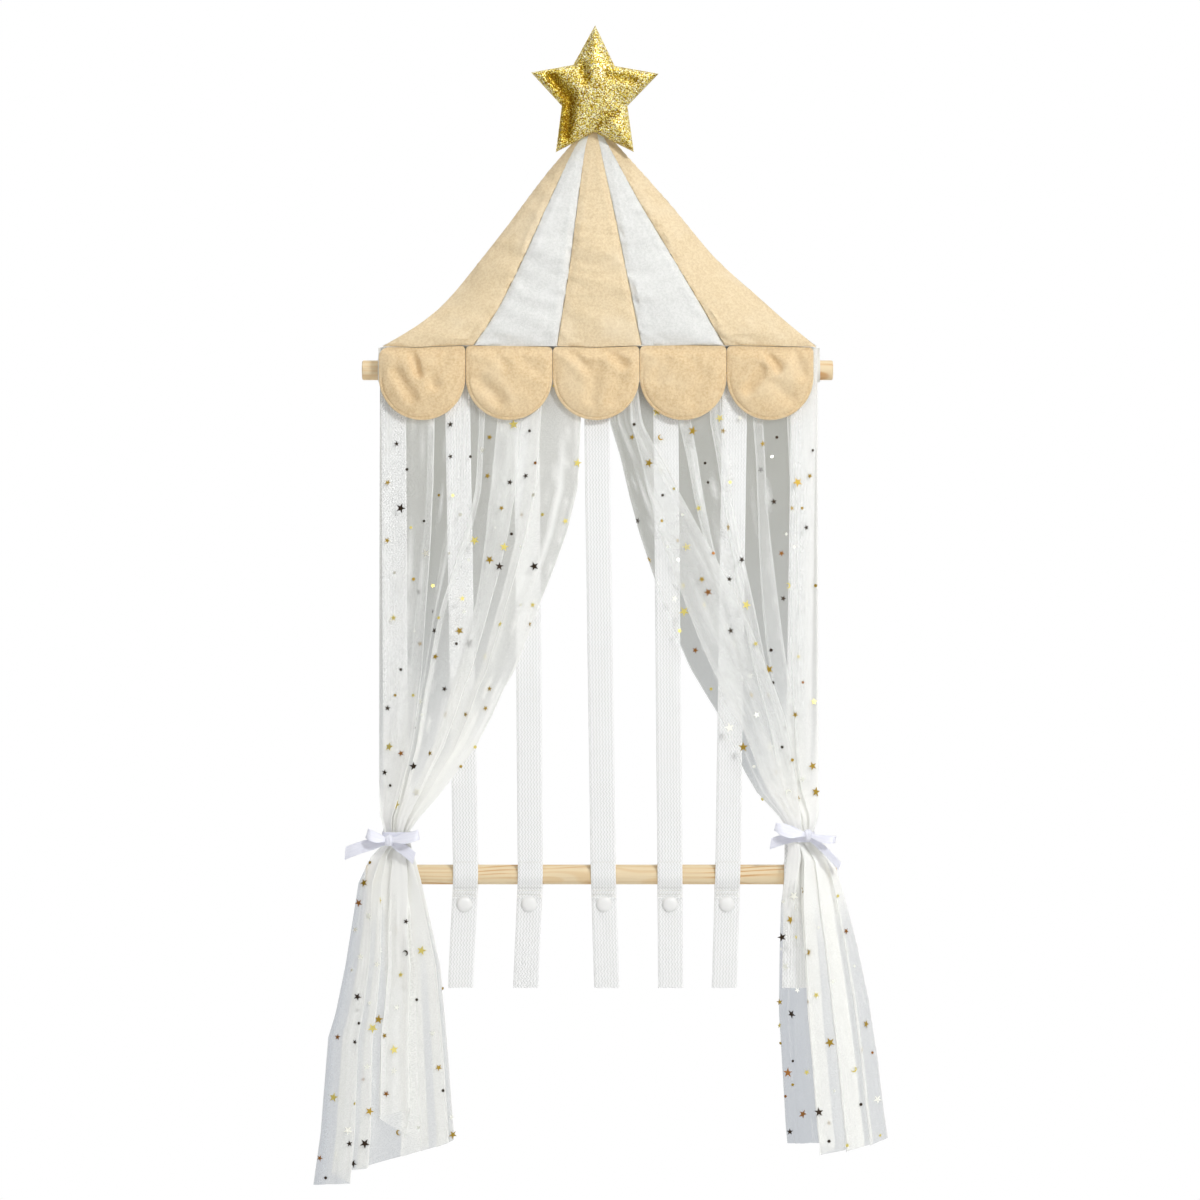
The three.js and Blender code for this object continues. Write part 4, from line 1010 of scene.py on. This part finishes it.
# How deep the seams draw the plush in, and the size of the ridge, the gathers and the folds beside them
seam_draw, seam_ridge, gather_size, fold_size = 1.3, 0.7, 0.8, 2.1
for gore in range(5):
    first = gore * gore_columns
    panel = surface[:, first : first + gore_columns + 1].copy()
    left, right = lines[:, gore], lines[:, gore + 1]
    near = np.minimum(panel[:, :, 0] - left[:, None], right[:, None] - panel[:, :, 0])
    wide = (right - left)[:, None]
    # The seam pulls the plush in, in short gathers, and its allowance makes a faint ridge beside it
    chance = np.random.default_rng(50 + gore)
    on_left, on_right = (
        np.interp(down_length, np.linspace(0, roof_height, count), chance.normal(0, 1, count))[:, None]
        for count in (46, 52)
    )
    gathers = np.where(panel[:, :, 0] - left[:, None] < wide / 2, on_left, on_right)
    size = np.clip(wide / 30, 0.15, 1)
    panel[:, :, 1] += size * (seam_draw * np.exp(-near / 1.0) - seam_ridge * np.exp(-(((near - 5.5) / 1.6) ** 2)))
    panel[:, :, 1] += size * gather_size * gathers * np.exp(-near / 8) * (1 - np.exp(-near / 1.0))
    folds = [[noise.noise(Vector((px * 0.018, (pz + 0.35 * px) * 0.07, gore))) for px, _, pz in row] for row in panel]
    panel[:, :, 1] += fold_size * np.array(folds) * smooth_share(downs[:, None], 0.3, 0.65) * np.clip(near / 6, 0, 1)
    panel[:, 0, 0] += clearance / 2
    panel[:, -1, 0] -= clearance / 2
    places, waves = np.array(base_wave).T
    low = np.clip((downs[:, None] - 0.86) / 0.14, 0, 1) ** 2
    panel[:, :, 2] += low * (np.interp(panel[:, :, 0], places, waves) - 0.25)
    panel[:, :, 1] += 0.8 * np.exp(-roof_height * (1 - downs[:, None]) / 1.2)
    base_room = scallop_depth - clearance / 2 - plush_thickness - 0.1 - 1.6 * roof_height * (1 - downs[:, None])
    panel[:, :, 1] = np.maximum(panel[:, :, 1], base_room)
    inside = panel.copy()
    inside[:, :, 1] += plush_thickness * 0.9
    across = panel[:, :, 0] - panel[:, :, 0].mean(axis=1, keepdims=True)
    flat = np.stack([across, np.broadcast_to(down_length[:, None], across.shape)], axis=2).reshape(-1, 2)
    slot, material = ("white_plush", white_plush) if gore % 2 else ("beige_plush", beige_plush)
    piece = shell(f"plush_gore_{gore + 1}", panel, inside, material, flat)
    area = swept(wide[:, 0], down_length) * 1.06 * mm * mm
    dressed(piece, f"roof_gore_{gore + 1}", slot)


# The roof's stuffing: carded polyester fibre pushed into the sewn shell through a gap in the back
# seam, so it takes the shell's form with soft lumps.
fibre_fill = Finish("fibre_fill")
spot, _ = fibre_fill.places()
tangle = fibre_fill.grain(spot, 700, 5, 0.7)
fibre_fill.surface({
    "Base Color": fibre_fill.blend(tangle, tint(226, 226, 224), tint(248, 248, 247)),
    "Roughness": 0.9 + tangle * 0.08,
    "Normal": fibre_fill.bump(tangle, 0.8 * mm, 0.6),
})
inner = (np.arange(57) / 56) * 0.9 + 0.05
fill_rows = slice(7, roof_rows - 5)
fill_x = lines[:, :1] + (lines[:, -1:] - lines[:, :1]) * inner[None, :]
lumps = np.array([[noise.noise(Vector((u * 9, v * 9, 3))) for u in inner] for v in downs])
front_y = roof_front(fill_x) + plush_thickness + 1.4 + 0.5 * lumps
back_y = np.maximum(roof_back(fill_x) - back_thickness - 0.8 - 0.3 * lumps, front_y + 0.6)
levels = np.broadcast_to(heights, fill_x.shape)
front = np.stack([fill_x, front_y, levels], axis=2)[fill_rows]
back = np.stack([fill_x, back_y, levels], axis=2)[fill_rows]
flat = front[:, :, [0, 2]].reshape(-1, 2)
piece = shell("roof_stuffing", front, back, fibre_fill.owner, flat)
dressed(piece, "roof_padding", "stuffing")


# The roof's back: plain cream cotton, flat where it lies on the wall, drawn in towards the side seams
# and turned forward under the stuffing to the base seam.
cotton_cloth = Finish("plain_cotton")
flat, (across, along) = cotton_cloth.cloth_places()
warp, weft = (across / (0.55 * mm)).wave(), (along / (0.6 * mm)).wave()
slub = cotton_cloth.grain(cotton_cloth.stretched(flat, (80, 900, 1)), 1, 3)
weave = warp * 0.5 + weft * 0.5
cotton_cloth.surface({
    "Base Color": cotton_cloth.blend(weave * 0.6 + slub * 0.4, tint(226, 223, 214), tint(244, 242, 236)),
    "Roughness": 0.85 + slub * 0.1,
    "Sheen Weight": 0.1,
    "Normal": cotton_cloth.bump(weave, 0.12 * mm, 0.5, cotton_cloth.bump(slub, 0.2 * mm, 0.4)),
})
back_across = 0.5 - 0.5 * np.cos(np.pi * np.arange(49) / 48)
back_x = (lines[:, :1] + 0.15) + (lines[:, -1:] - lines[:, :1] - 0.3) * back_across[None, :]
creases = np.array([[noise.noise(Vector((u * 5, v * 14, 8))) for u in back_across] for v in downs])
settle = 0.35 * (creases + 0.6) * np.clip(roof_swell(back_x), 0, 1)
outside = np.stack([back_x, roof_back(back_x) - np.clip(settle, 0, 1), np.broadcast_to(heights, back_x.shape)], axis=2)
lining = outside.copy()
lining[:, :, 1] -= back_thickness
foot = outside[-1]
under, under_inside = [], []
for share in np.linspace(0.08, 1, 14):
    row = foot.copy()
    row[:, 1] = foot[:, 1] + (scallop_depth + clearance / 2 - foot[:, 1]) * share
    above = row.copy()
    above[:, 2] += back_thickness * np.maximum(0.5, roof_swell(back_x)[-1])
    under.append(row)
    under_inside.append(above)
outside = np.concatenate([outside[:-1], np.array(under)])
lining = np.concatenate([lining[:-1], np.array(under_inside)])
run = run_down(outside)
flat = np.stack([outside[:, :, 0], run], axis=2).reshape(-1, 2)
piece = shell("cotton_back_panel", outside, lining, cotton_cloth.owner, flat)
half_turn = float(run[:, 24].max())
panel_width, underside_width = 350, 330
area = swept(lines[:, -1] - lines[:, 0], down_length) + underside_width * (half_turn - down_length[-1])
flat = (panel_width * mm, half_turn * mm)
area * mm * mm
dressed(piece, "roof_back_panel", "back_cloth")


# The casing: a strip of the same cotton folded round the upper dowel, its two plies sewn together
# into the base seam behind the scallops.
sleeve_start, sleeve_end, sleeve_radius, ply_half = -173.6, 180.0, 9.15, 0.5
turns = [math.radians(a) for a in range(-14, -347, -9)]
casing_profile = [(-0.6, hangers_top - upper_rod), (-0.62, 12.6)]
casing_profile += [(sleeve_radius * math.sin(turn), sleeve_radius * math.cos(turn)) for turn in turns]
casing_profile += [(0.62, 12.6), (0.6, hangers_top - upper_rod)]
casing_steps = np.linspace(sleeve_start, sleeve_end, 110)
outer_face, inner_face, flat = [], [], []
run = 0.0
for i, (y, z) in enumerate(casing_profile):
    before, after = neighbours(casing_profile, i)
    tangent = Vector((after[0] - before[0], after[1] - before[1])).normalized()
    out = Vector((tangent.y, -tangent.x))
    if i:
        run += math.dist((y, z), casing_profile[i - 1])
    for x_place in casing_steps:
        pull = 0.22 * noise.noise(Vector((x_place * 0.16, run * 0.12, 4)))
        at_y, at_z = rod_depth + y, upper_rod + z
        outer_face.append((x_place, at_y + out.x * (ply_half + pull), at_z + out.y * (ply_half + pull)))
        inner_face.append((x_place, at_y - out.x * ply_half, at_z - out.y * ply_half))
        flat.append((x_place, run))
shape = (len(casing_profile), len(casing_steps), 3)
outer_face, inner_face = (np.array(face).reshape(shape) for face in (outer_face, inner_face))
piece = shell("dowel_casing", outer_face, inner_face, cotton_cloth.owner, np.array(flat))
run * mm
dressed(piece, "rod_sleeve", "back_cloth")


# The scallops: five flaps, each two plies of beige plush sewn round the curve, turned and lightly
# padded, and hung from the base seam by the straight edge. The turned seam makes a rolled rim.
scallop_top, scallop_width, scallop_drop = -214.2, 68.8, 58.3
scallop_half, scallop_straight = scallop_width / 2, scallop_drop - scallop_width / 2
# Where each flap is dented: the two ends of the dent from the flap's top middle, its width and depth
scallop_dents = (
    ((-8, -4, -3, -22, 3.5, 3.6), (5, -22, 10, -30, 4.5, 2.6), (-20, -20, -8, -40, 4, 2.4), (20, -6, 12, -20, 4, 1.4)),
    ((-22, -28, -8, -42, 5, 2.4), (10, -10, 22, -18, 5, 1.3), (-10, -6, -2, -14, 4, 1.2)),
    ((-18, -6, -8, -16, 4, 2.4), (12, -4, 22, -14, 4, 3.4), (0, -16, -4, -40, 5, 1.8), (20, -26, 14, -42, 5, 1.4)),
    ((-14, -10, -22, -26, 5, 1.5), (16, -24, 8, -42, 6, 1.4), (2, -6, 8, -12, 4, 1.0)),
    ((-2, -5, 6, -18, 3.5, 3.6), (-6, -18, -18, -34, 4, 2.4), (20, -6, 26, -22, 4, 2.2), (4, -30, 16, -42, 5, 1.6)),
)
# The corners beside the seam, and the rounder one at the far left
flap_corner, first_corner = 3.6, 8.5
# How far the front stands forward at the rim, and what the padding adds near the rim and in the middle
rim_forward, edge_puff, middle_puff = 0.9, 1.8, 2.8
flap_back, rim_front, rim_back = 0.8, 0.5, 0.35
# The turned seam's roll: how far in from the edge it lies, and its width
roll_in, roll_width = 2.0, 0.5
rings, segments = 22, 112


def scallop_edge(share, left_corner):
    """A point of the flap's outline, from its top left corner down round the curve and back."""
    side, arc, top = scallop_straight, math.pi * scallop_half, scallop_width
    run = share * (2 * side + arc + top)
    if run < side:
        x, z = -scallop_half, -run
    elif run < side + arc:
        angle = math.pi + (run - side) / scallop_half
        x, z = scallop_half * math.cos(angle), -side + scallop_half * math.sin(angle)
    elif run < 2 * side + arc:
        x, z = scallop_half, -side + (run - side - arc)
    else:
        x, z = scallop_half - (run - 2 * side - arc), 0.0
    corner = left_corner if x < 0 else flap_corner
    centre = Vector((math.copysign(scallop_half - corner, x), -corner))
    away = Vector((x, z)) - centre
    if abs(x) > scallop_half - corner and z > -corner and away.length > corner:
        x, z = centre + away.normalized() * corner
    return x, z


def ring_body(name, front, back, segments, material, middle):
    """A closed body between two surfaces made of rings, whose innermost rings close to a point."""
    count = len(front)
    rings = count // segments - 1
    faces = ring_faces(rings, segments)
    faces += [tuple(count + i for i in face) for face in ring_faces(rings, segments)]
    rim = [rings * segments + i for i in range(segments)]
    faces += [(a, b, count + b, count + a) for a, b in zip(rim, rim[1:] + rim[:1])]
    points = np.concatenate([front, back])
    keep = np.ones(len(points), bool)
    keep[1:segments] = keep[count + 1 : count + segments] = False
    index = np.cumsum(keep) - 1
    merged = [list(dict.fromkeys(int(index[i]) for i in face)) for face in faces]
    merged = [face for face in merged if len(face) > 2]
    flat = points[keep][:, [0, 2]] - middle
    return facing_out(mesh_piece(name, points[keep], merged, material, flat), 70)


def away_from_line(places, start, end):
    """How far each place lies from the line between two points."""
    start, line = np.array(start), np.array(end) - np.array(start)
    share = np.clip(((places - start) @ line) / (line @ line), 0, 1)
    return np.linalg.norm(places - start - share[:, None] * line, axis=1)


def hinge_room(down):
    """How thick the front of a flap may be below its seam, so that it folds up clear of the roof."""
    return 0.4 + 0.1 * np.maximum(0, down - 0.8) + 0.6 * np.maximum(0, down - 2.3)


# The same plush painted deeper on the flaps, as painted shade
flap_plush_painted_shade = plush("flap_plush_painted_shade", tint(224, 194, 148), tint(242, 217, 175), tint(251, 234, 201))
all_points, all_faces, all_pinned = [], [], []
for flap in range(5):
    start = len(all_points)
    middle = (0, -scallop_drop * 0.48)
    for ring in range(rings + 1):
        share = math.sin(math.pi / 2 * ring / rings)
        for segment in range(segments):
            x_edge, z_edge = scallop_edge(segment / segments, first_corner if flap == 0 else flap_corner)
            px, pz = middle[0] + (x_edge - middle[0]) * share, middle[1] + (z_edge - middle[1]) * share
            depth = rim_forward + edge_puff * (1 - share**9) + middle_puff * (1 - share**2.2)
            depth = -min(depth, hinge_room(-pz))
            px *= 1.004
            across = flaps_middle + (flap - 2) * flap_pitch + px
            pz += (np.interp(across, *np.array(base_wave).T) - 0.1) * max(0, 1 + pz / 26)
            if ring == rings:
                all_pinned.append(len(all_points))
            all_points.append((across, scallop_depth + depth, scallop_top + pz))
    all_faces += [tuple(start + i for i in face[::-1]) for face in ring_faces(rings, segments)]
all_points = swollen(np.array(all_points), all_faces, all_pinned, 2.5, 0.03, 1.2, 0.8)
per_flap = (rings + 1) * segments
for flap in range(5):
    front = all_points[flap * per_flap : (flap + 1) * per_flap].copy()
    centre = flaps_middle + (flap - 2) * flap_pitch
    local = np.stack([front[:, 0] - centre, front[:, 2] - scallop_top], axis=1)
    for x0, z0, x1, z1, width, depth in scallop_dents[flap]:
        away = away_from_line(local, (x0, z0), (x1, z1)) / width
        front[:, 1] += 1.25 * depth * (np.exp(-(away**2)) - 0.4 * np.exp(-((away - 1.9) ** 2)))
    # The rolled rim along the sides and the curve
    corner_down = np.maximum(0, -local[:, 1] - scallop_straight)
    edge_away = scallop_half - np.hypot(local[:, 0], corner_down)
    lumps = np.array([noise.noise(Vector((px * 0.09, pz * 0.09, flap * 5))) for px, pz in local])
    front[:, 1] += 0.7 * lumps * smooth_share(-local[:, 1], 4, 14) * smooth_share(edge_away, 3, 10)
    rim = np.exp(-(((edge_away - roll_in) / roll_width) ** 2)) * smooth_share(-local[:, 1], 10, 26)
    front[:, 1] += 0.8 * rim
    ring_of = np.repeat(np.arange(rings + 1), segments)
    room = np.minimum(7.0, hinge_room(-local[:, 1]))
    front[:, 1] = np.clip(front[:, 1], scallop_depth - room, scallop_depth - 0.2)
    back = front.copy()
    share_of = np.sin(np.pi / 2 * ring_of / rings)
    back[:, 1] = scallop_depth + flap_back - 0.25 * rim - 0.25 * share_of**12
    front[ring_of == rings, 1] = scallop_depth - rim_front
    back[ring_of == rings, 1] = scallop_depth + rim_back
    piece = ring_body(f"plush_scallop_{flap + 1}", front, back, segments, flap_plush_painted_shade, (centre, scallop_top))
    dressed(piece, f"scallop_{flap + 1}", "beige_plush", f"flap_{flap + 1}")


# The star: a front and a back panel of gold glitter fabric, cut with a straight-sided outline, sewn
# round it and stuffed hard, so the seam stays a sharp thin edge and the middle swells.
star_middle = np.array((0.0, -12.2))
star_depth, star_front_puff, star_back_puff, glitter_thickness = -11.15, 12, 6, 0.9
star_corners = (
    (0.1, 43.8), (-17.5, 12.0), (-51.0, 6.0), (-26.6, -20.6), (-31.4, -57.6),
    (-0.8, -41.6), (31.0, -57.4), (25.9, -20.6), (50.8, 5.0), (15.8, 11.2),
)
star_rings, star_segments = 26, 140
# How far in from the outline the panels go on rising, and the stuffing's size as a share of the star's
star_rise, star_fill_share = 23.5, 0.84
# Where the front is drawn in: the two ends of each dent, its width and depth
star_dents = (
    (-35, 2, -21, -14, 5.5, 5.4), (-21, -14, -23, -46, 5.5, 5.6), (-10, 10, -7, -2, 4, 3.0), (11, 3, 30, -1, 3.2, 2.8),
    (4, -36, 14, -28, 4, 2.0),
)


def glitter_fabric():
    """Coarse gold glitter bonded to cloth: flakes that each lean their own way, painted bright, gold or dark
    at random as painted glints, and a deeper gold in the star's dents as painted shade.
    """
    glitter = Finish("gold_glitter")
    spot, _ = glitter.places()
    cells = {"Vector": spot, "Scale": 1500.0}
    flake = glitter.node("ShaderNodeTexVoronoi", None, cells, out=1)
    edge = glitter.node("ShaderNodeTexVoronoi", {"feature": "DISTANCE_TO_EDGE"}, cells)
    lean = glitter.node("ShaderNodeSeparateColor", None, {0: flake})
    tilt = glitter.node("ShaderNodeSeparateColor", None, {0: flake}, out=1)
    fine = glitter.node("ShaderNodeTexVoronoi", None, {"Vector": spot, "Scale": 3200.0}, out=1)
    dust = glitter.node("ShaderNodeSeparateColor", None, {0: fine}, out=2)
    stops = [
        (0.12, tint(128, 90, 0)),
        (0.28, tint(180, 142, 8)),
        (0.44, tint(232, 204, 58)),
        (0.58, tint(252, 236, 124)),
        (0.74, tint(255, 250, 178)),
        (0.9, tint(255, 255, 236)),
    ]
    # Painted shade: where the cloth is drawn in, the flakes are painted a deeper gold.
    drawn = glitter.node("ShaderNodeAttribute", {"attribute_name": "drawn_in"}, out=2)
    painted_glint_and_dent_shade = (lean * 0.8 + dust * 0.2 - 0.5) * 1.25 + 0.5 - drawn * 0.5
    colour = glitter.node("ShaderNodeValToRGB", {"stops": stops}, {0: painted_glint_and_dent_shade})
    gap_dark = glitter.blend(edge.within(0.0, 0.05), tint(150, 112, 10), colour)
    facets = glitter.bump(tilt, 0.5 * mm, 0.55, glitter.bump(edge.within(0, 0.15), 0.2 * mm, 0.6))
    return glitter.surface({
        "Base Color": gap_dark,
        "Metallic": 0.8,
        "Roughness": 0.24 + tilt * 0.3,
        "Normal": facets,
    })


gold_glitter = glitter_fabric()
deepest_dent = max(dent[-1] for dent in star_dents)
corners = np.array(star_corners)
per_side = star_segments // 10
edge_points = np.array([
    corners[i] + (corners[(i + 1) % 10] - corners[i]) * step / per_side for i in range(10) for step in range(per_side)
])


def star_drawn_in(flat):
    """How far the front of the star is drawn in at each place."""
    drawn_in = np.zeros(len(flat))
    for x0, z0, x1, z1, width, depth in star_dents:
        from_line = away_from_line(flat, (x0, z0), (x1, z1))
        drawn_in = np.maximum(drawn_in, depth * np.exp(-((from_line / width) ** 2)))
    return drawn_in


def star_surface(facing, puff):
    shares = np.sin(np.pi / 2 * np.arange(star_rings + 1) / star_rings)
    flat = (star_middle + (edge_points[None] - star_middle) * shares[:, None, None]).reshape(-1, 2)
    away = np.min([away_from_line(flat, corners[i], corners[(i + 1) % 10]) for i in range(10)], axis=0)
    rise = np.clip(away / star_rise, 0, 1)
    high = puff * 0.8 * np.sqrt(rise * (2 - rise))
    rest = star_depth + facing * (clearance / 2 + glitter_thickness + high)
    points = np.stack([flat[:, 0], rest, flat[:, 1]], axis=1)
    rim = range(star_rings * star_segments, (star_rings + 1) * star_segments)
    faces = [face[::facing] for face in ring_faces(star_rings, star_segments)]
    points = swollen(points, faces, rim, 5, 0.02, puff * 0.25, 0.5)
    if facing < 0:
        points[:, 1] += star_drawn_in(flat) * np.clip(away / 7, 0, 1)
    limit = star_depth + facing * (clearance / 2 + glitter_thickness + puff)
    points[:, 1] = np.maximum(points[:, 1], limit) if facing < 0 else np.minimum(points[:, 1], limit)
    return points


star_fill = {}
for name, facing, puff in (("front", -1, star_front_puff), ("back", 1, star_back_puff)):
    outside = star_surface(facing, puff)
    inside = outside.copy()
    inside[:, 1] -= facing * glitter_thickness
    star_fill[name] = inside
    front, back = (outside, inside) if facing < 0 else (inside, outside)
    piece = ring_body(f"glitter_panel_{name}", front, back, star_segments, gold_glitter, (0, star_middle[1]))
    places = np.array([(corner.co.x, corner.co.z) for corner in piece.data.vertices]) / mm
    # The dents' depth goes to the glitter, which paints the flakes there a deeper gold as painted shade.
    noted(piece, "drawn_in", star_drawn_in(places) / deepest_dent * (facing < 0))
    dressed(piece, f"star_{name}", "glitter_cloth")

# The stuffing inside it, drawn in from the seam
filling = {}
for name, facing in (("front", -1), ("back", 1)):
    points = star_fill[name].copy()
    points[:, [0, 2]] = star_middle + (points[:, [0, 2]] - star_middle) * star_fill_share
    tufts = np.array([noise.noise(Vector(point) * 0.16) for point in points])
    share = star_fill_share if facing > 0 else 0.5
    points[:, 1] = star_depth + (points[:, 1] - star_depth) * share - facing * 0.35 * (tufts + 1) * 0.5
    filling[name] = points
front, back, middle = filling["front"], filling["back"], (0, star_middle[1])
piece = ring_body("star_stuffing", front, back, star_segments, fibre_fill.owner, middle)
dressed(piece, "star_filling", "stuffing")


# The hanging loop: narrow twill tape sewn into the roof's apex behind the star, doubled into an eye.
tape_width, tape_thickness, eye_radius = 7.6, 1.2, 7.0
eye_middle, tape_foot = -eye_radius, -40.3
around = eye_radius + tape_thickness / 2
leaving = math.asin(around / (eye_middle - tape_foot))
runs = [(-0.75, tape_foot + i * (eye_middle - around * math.sin(leaving) - tape_foot) / 12) for i in range(12)]
runs = [(-0.75 + (-around * math.cos(leaving) + 0.75) * i / 12, z) for i, (_, z) in enumerate(runs)]
for i in range(31):
    angle = math.pi + leaving - (math.pi + 2 * leaving) * i / 30
    runs.append((around * math.cos(angle), eye_middle + around * math.sin(angle)))
runs += [(-x, z) for x, z in runs[11::-1]]
stations = []
for i, (x, z) in enumerate(runs):
    before, after = neighbours(runs, i)
    along = Vector((after[0] - before[0], 0, after[1] - before[1])).normalized()
    stations.append((Vector((x, 0, z)), Vector((0, 1, 0)), Vector((-along.z, 0, along.x)), 1))
piece = band("hanging_tape", stations, tape_width, tape_thickness, webbing.owner)
length = run_length(stations)
tape_width * mm * length
dressed(piece, "hanging_loop", "webbing")


# The ties: a white satin ribbon round each curtain and its outer strap, tied in a bow in front with two
# loops and two tails cut on the slant.
satin = Finish("white_satin")
flat, (_, along) = satin.cloth_places()
rib = (along / (0.42 * mm)).wave()
sheen_streaks = satin.grain(satin.stretched(flat, (900, 40, 1)), 1, 3)
satin.surface({
    # Painted highlight and shade: the ribbon's own pale lavender is painted in streaks along it, darker and near white.
    "Base Color": satin.blend(sheen_streaks, tint(223, 225, 240), tint(247, 247, 253)),
    "Roughness": 0.3 + sheen_streaks * 0.16,
    "Anisotropic": 0.4,
    "Sheen Weight": 0.25,
    "Normal": satin.bump(rib, 0.05 * mm, 0.3, satin.bump(sheen_streaks, 0.15 * mm, 0.3)),
})
ribbon_width, ribbon_thickness = 9.0, 0.5
knot_half, knot_reach, knot_rings, knot_segments = 4.2, 4.6, 10, 36
# Each bow: the knot's place, the ends of its loops from it (the outer first) with their share of the
# width and how round they end, the ends of its tails with their share of the width, and the band's run
bows = {
    "left": (
        (-164.0, -607.2), ((-17.2, 6.0, 1.0, 0.1), (24.0, 4.8, 1.0, 0.1)),
        ((-34.8, -9.2, 1.05), (20.2, -13.2, 0.95)), (-169.4, -147.2),
    ),
    "right": (
        (169.4, -602.9), ((21.8, -3.5, 0.75, 0.1), (-26.2, 6.8, 1.22, 0.5)),
        ((-29.8, -5.9, 0.9), (25.4, -23.9, 0.62)), (150.3, 174.8),
    ),
}
band_back, band_front, bow_back, tails_depth = -13.4, -28.4, -30.4, -29.35
# The share of its width that the ribbon keeps where it comes out of the knot, in a loop and in a tail
loop_pinch, tail_pinch = 0.42, 0.5
loop_puff = 3.2  # how far a loop stands open to each side


def ribbon_sheet(name, node, stations):
    piece = band(name, stations, ribbon_width, ribbon_thickness, satin.owner)
    length = run_length(stations)
    shares = [station[3] for station in stations]
    area = ribbon_width * mm * length * sum(shares) / len(shares)
    dressed(piece, node, "satin")


for side, (knot, loops, tails, (low, high)) in bows.items():
    knot_x, knot_z = knot
    # The band, from one end behind the strap round to the other
    corner, path = 3.2, []
    box = [(high - 6, band_back), (high, band_back), (high, band_front), (low, band_front), (low, band_back)]
    box.append((high - 7, band_back + 0.7))
    for i in range(1, len(box) - 1):
        before, here, after = (Vector(point) for point in box[i - 1 : i + 2])
        into, out = (here - before).normalized(), (after - here).normalized()
        for step in range(7):
            share = step / 6
            path.append(here - into * corner * (1 - share) ** 2 + out * corner * share**2)
    path = [Vector(box[0])] + path + [Vector(box[-1])]
    stations = []
    for i, point in enumerate(path):
        before, after = neighbours(path, i)
        along = (after - before).normalized()
        out = Vector((-along.y, along.x, 0))
        crush = 0.9 if point.y < -20 else 1
        stations.append((Vector((point.x, point.y, tie_height)), Vector((0, 0, 1)), -out, crush))
    ribbon_sheet(f"ribbon_round_{side}", f"ribbon_band_{side}", stations)

    for which, (x, z, fullest, rounded) in zip(("outer", "inner"), loops):
        reach = math.hypot(x, z)
        away, up = Vector((x, 0, z)) / reach, Vector((-z, 0, x)) / reach
        if up.z < 0:
            up = -up
        stations, steps = [], 44
        for i in range(steps + 1):
            turn = 2 * math.pi * i / steps
            share = 0.5 - 0.5 * math.cos(turn)
            along = knot_half * 0.4 + (reach - knot_half * 0.4) * share
            bow = loop_puff * math.sin(turn) * (0.35 + 0.65 * share)
            sag = -1.0 * math.sin(math.pi * share)
            middle = Vector((knot_x, bow_back - 2.6, knot_z)) + away * along + Vector((0, -bow, 0)) + up * sag
            width = loop_pinch + (fullest - loop_pinch) * smooth_share(share, 0.02, 0.5)
            width -= rounded * smooth_share(share, 0.62, 1) ** 2
            across = (up + Vector((0, 0.5 * math.sin(turn), 0))).normalized()
            stations.append((middle, across, None, width))
        for i, (middle, across, _, width) in enumerate(stations):
            before, after = neighbours(stations, i)
            run = (after[0] - before[0]).normalized()
            stations[i] = (middle, across, across.cross(run).normalized(), width)
        ribbon_sheet(f"ribbon_loop_{side}_{which}", f"bow_loop_{side}_{which}", stations)

    # The two tails are the ends of one ribbon, that goes through behind the knot
    start, end = (Vector((x, 0, z)) for x, z, _ in tails)
    stations, steps = [], 46
    for i in range(steps + 1):
        share = i / steps
        tip, out_share = (start, 1 - 2 * share) if share < 0.5 else (end, 2 * share - 1)
        droop = Vector((0, 0, 1.6 * math.sin(math.pi * out_share)))
        curl = 1.1 * math.sin(math.pi * 2 * out_share) * out_share
        middle = Vector((knot_x, tails_depth + curl, knot_z - 1.2)) + tip * out_share + droop
        fullest = tails[0 if share < 0.5 else 1][2]
        width = tail_pinch + (fullest - tail_pinch) * smooth_share(out_share, 0.0, 0.45)
        stations.append((middle, out_share, width, tip))
    for i, (middle, out_share, width, tip) in enumerate(stations):
        before, after = neighbours(stations, i)
        run = (after[0] - before[0]).normalized()
        out = Vector((0, -1, 0))
        out = (out - run * out.dot(run)).normalized()
        across = run.cross(out)
        slant = 0.55 * smooth_share(out_share, 0.8, 1) * (1 if tip.x > 0 else -1)
        stations[i] = (middle, across + run * slant, out, width)
    ribbon_sheet(f"ribbon_tails_{side}", f"bow_tails_{side}", stations)

    # The knot: the ribbon drawn tight over its own crossing, with a few hard creases
    front, back = [], []
    for ring in range(knot_rings + 1):
        share = math.sin(math.pi / 2 * ring / knot_rings)
        for segment in range(knot_segments):
            turn = 2 * math.pi * segment / knot_segments
            x, z = knot_half * share * math.cos(turn), knot_reach * share * math.sin(turn)
            crease = 0.28 * math.cos(2.2 * x + 0.5 * math.sin(z)) * (1 - share**2)
            high = 4.4 * math.sqrt(max(0, 1 - share**2.6))
            front.append((knot_x + x, bow_back - 0.1 - high + crease, knot_z + z))
            back.append((knot_x + x * 0.98, bow_back, knot_z + z * 0.98))
    front, back = np.array(front), np.array(back)
    piece = ring_body(f"ribbon_knot_{side}", front, back, knot_segments, satin.owner, (knot_x, knot_z))
    dressed(piece, f"bow_knot_{side}", "satin")
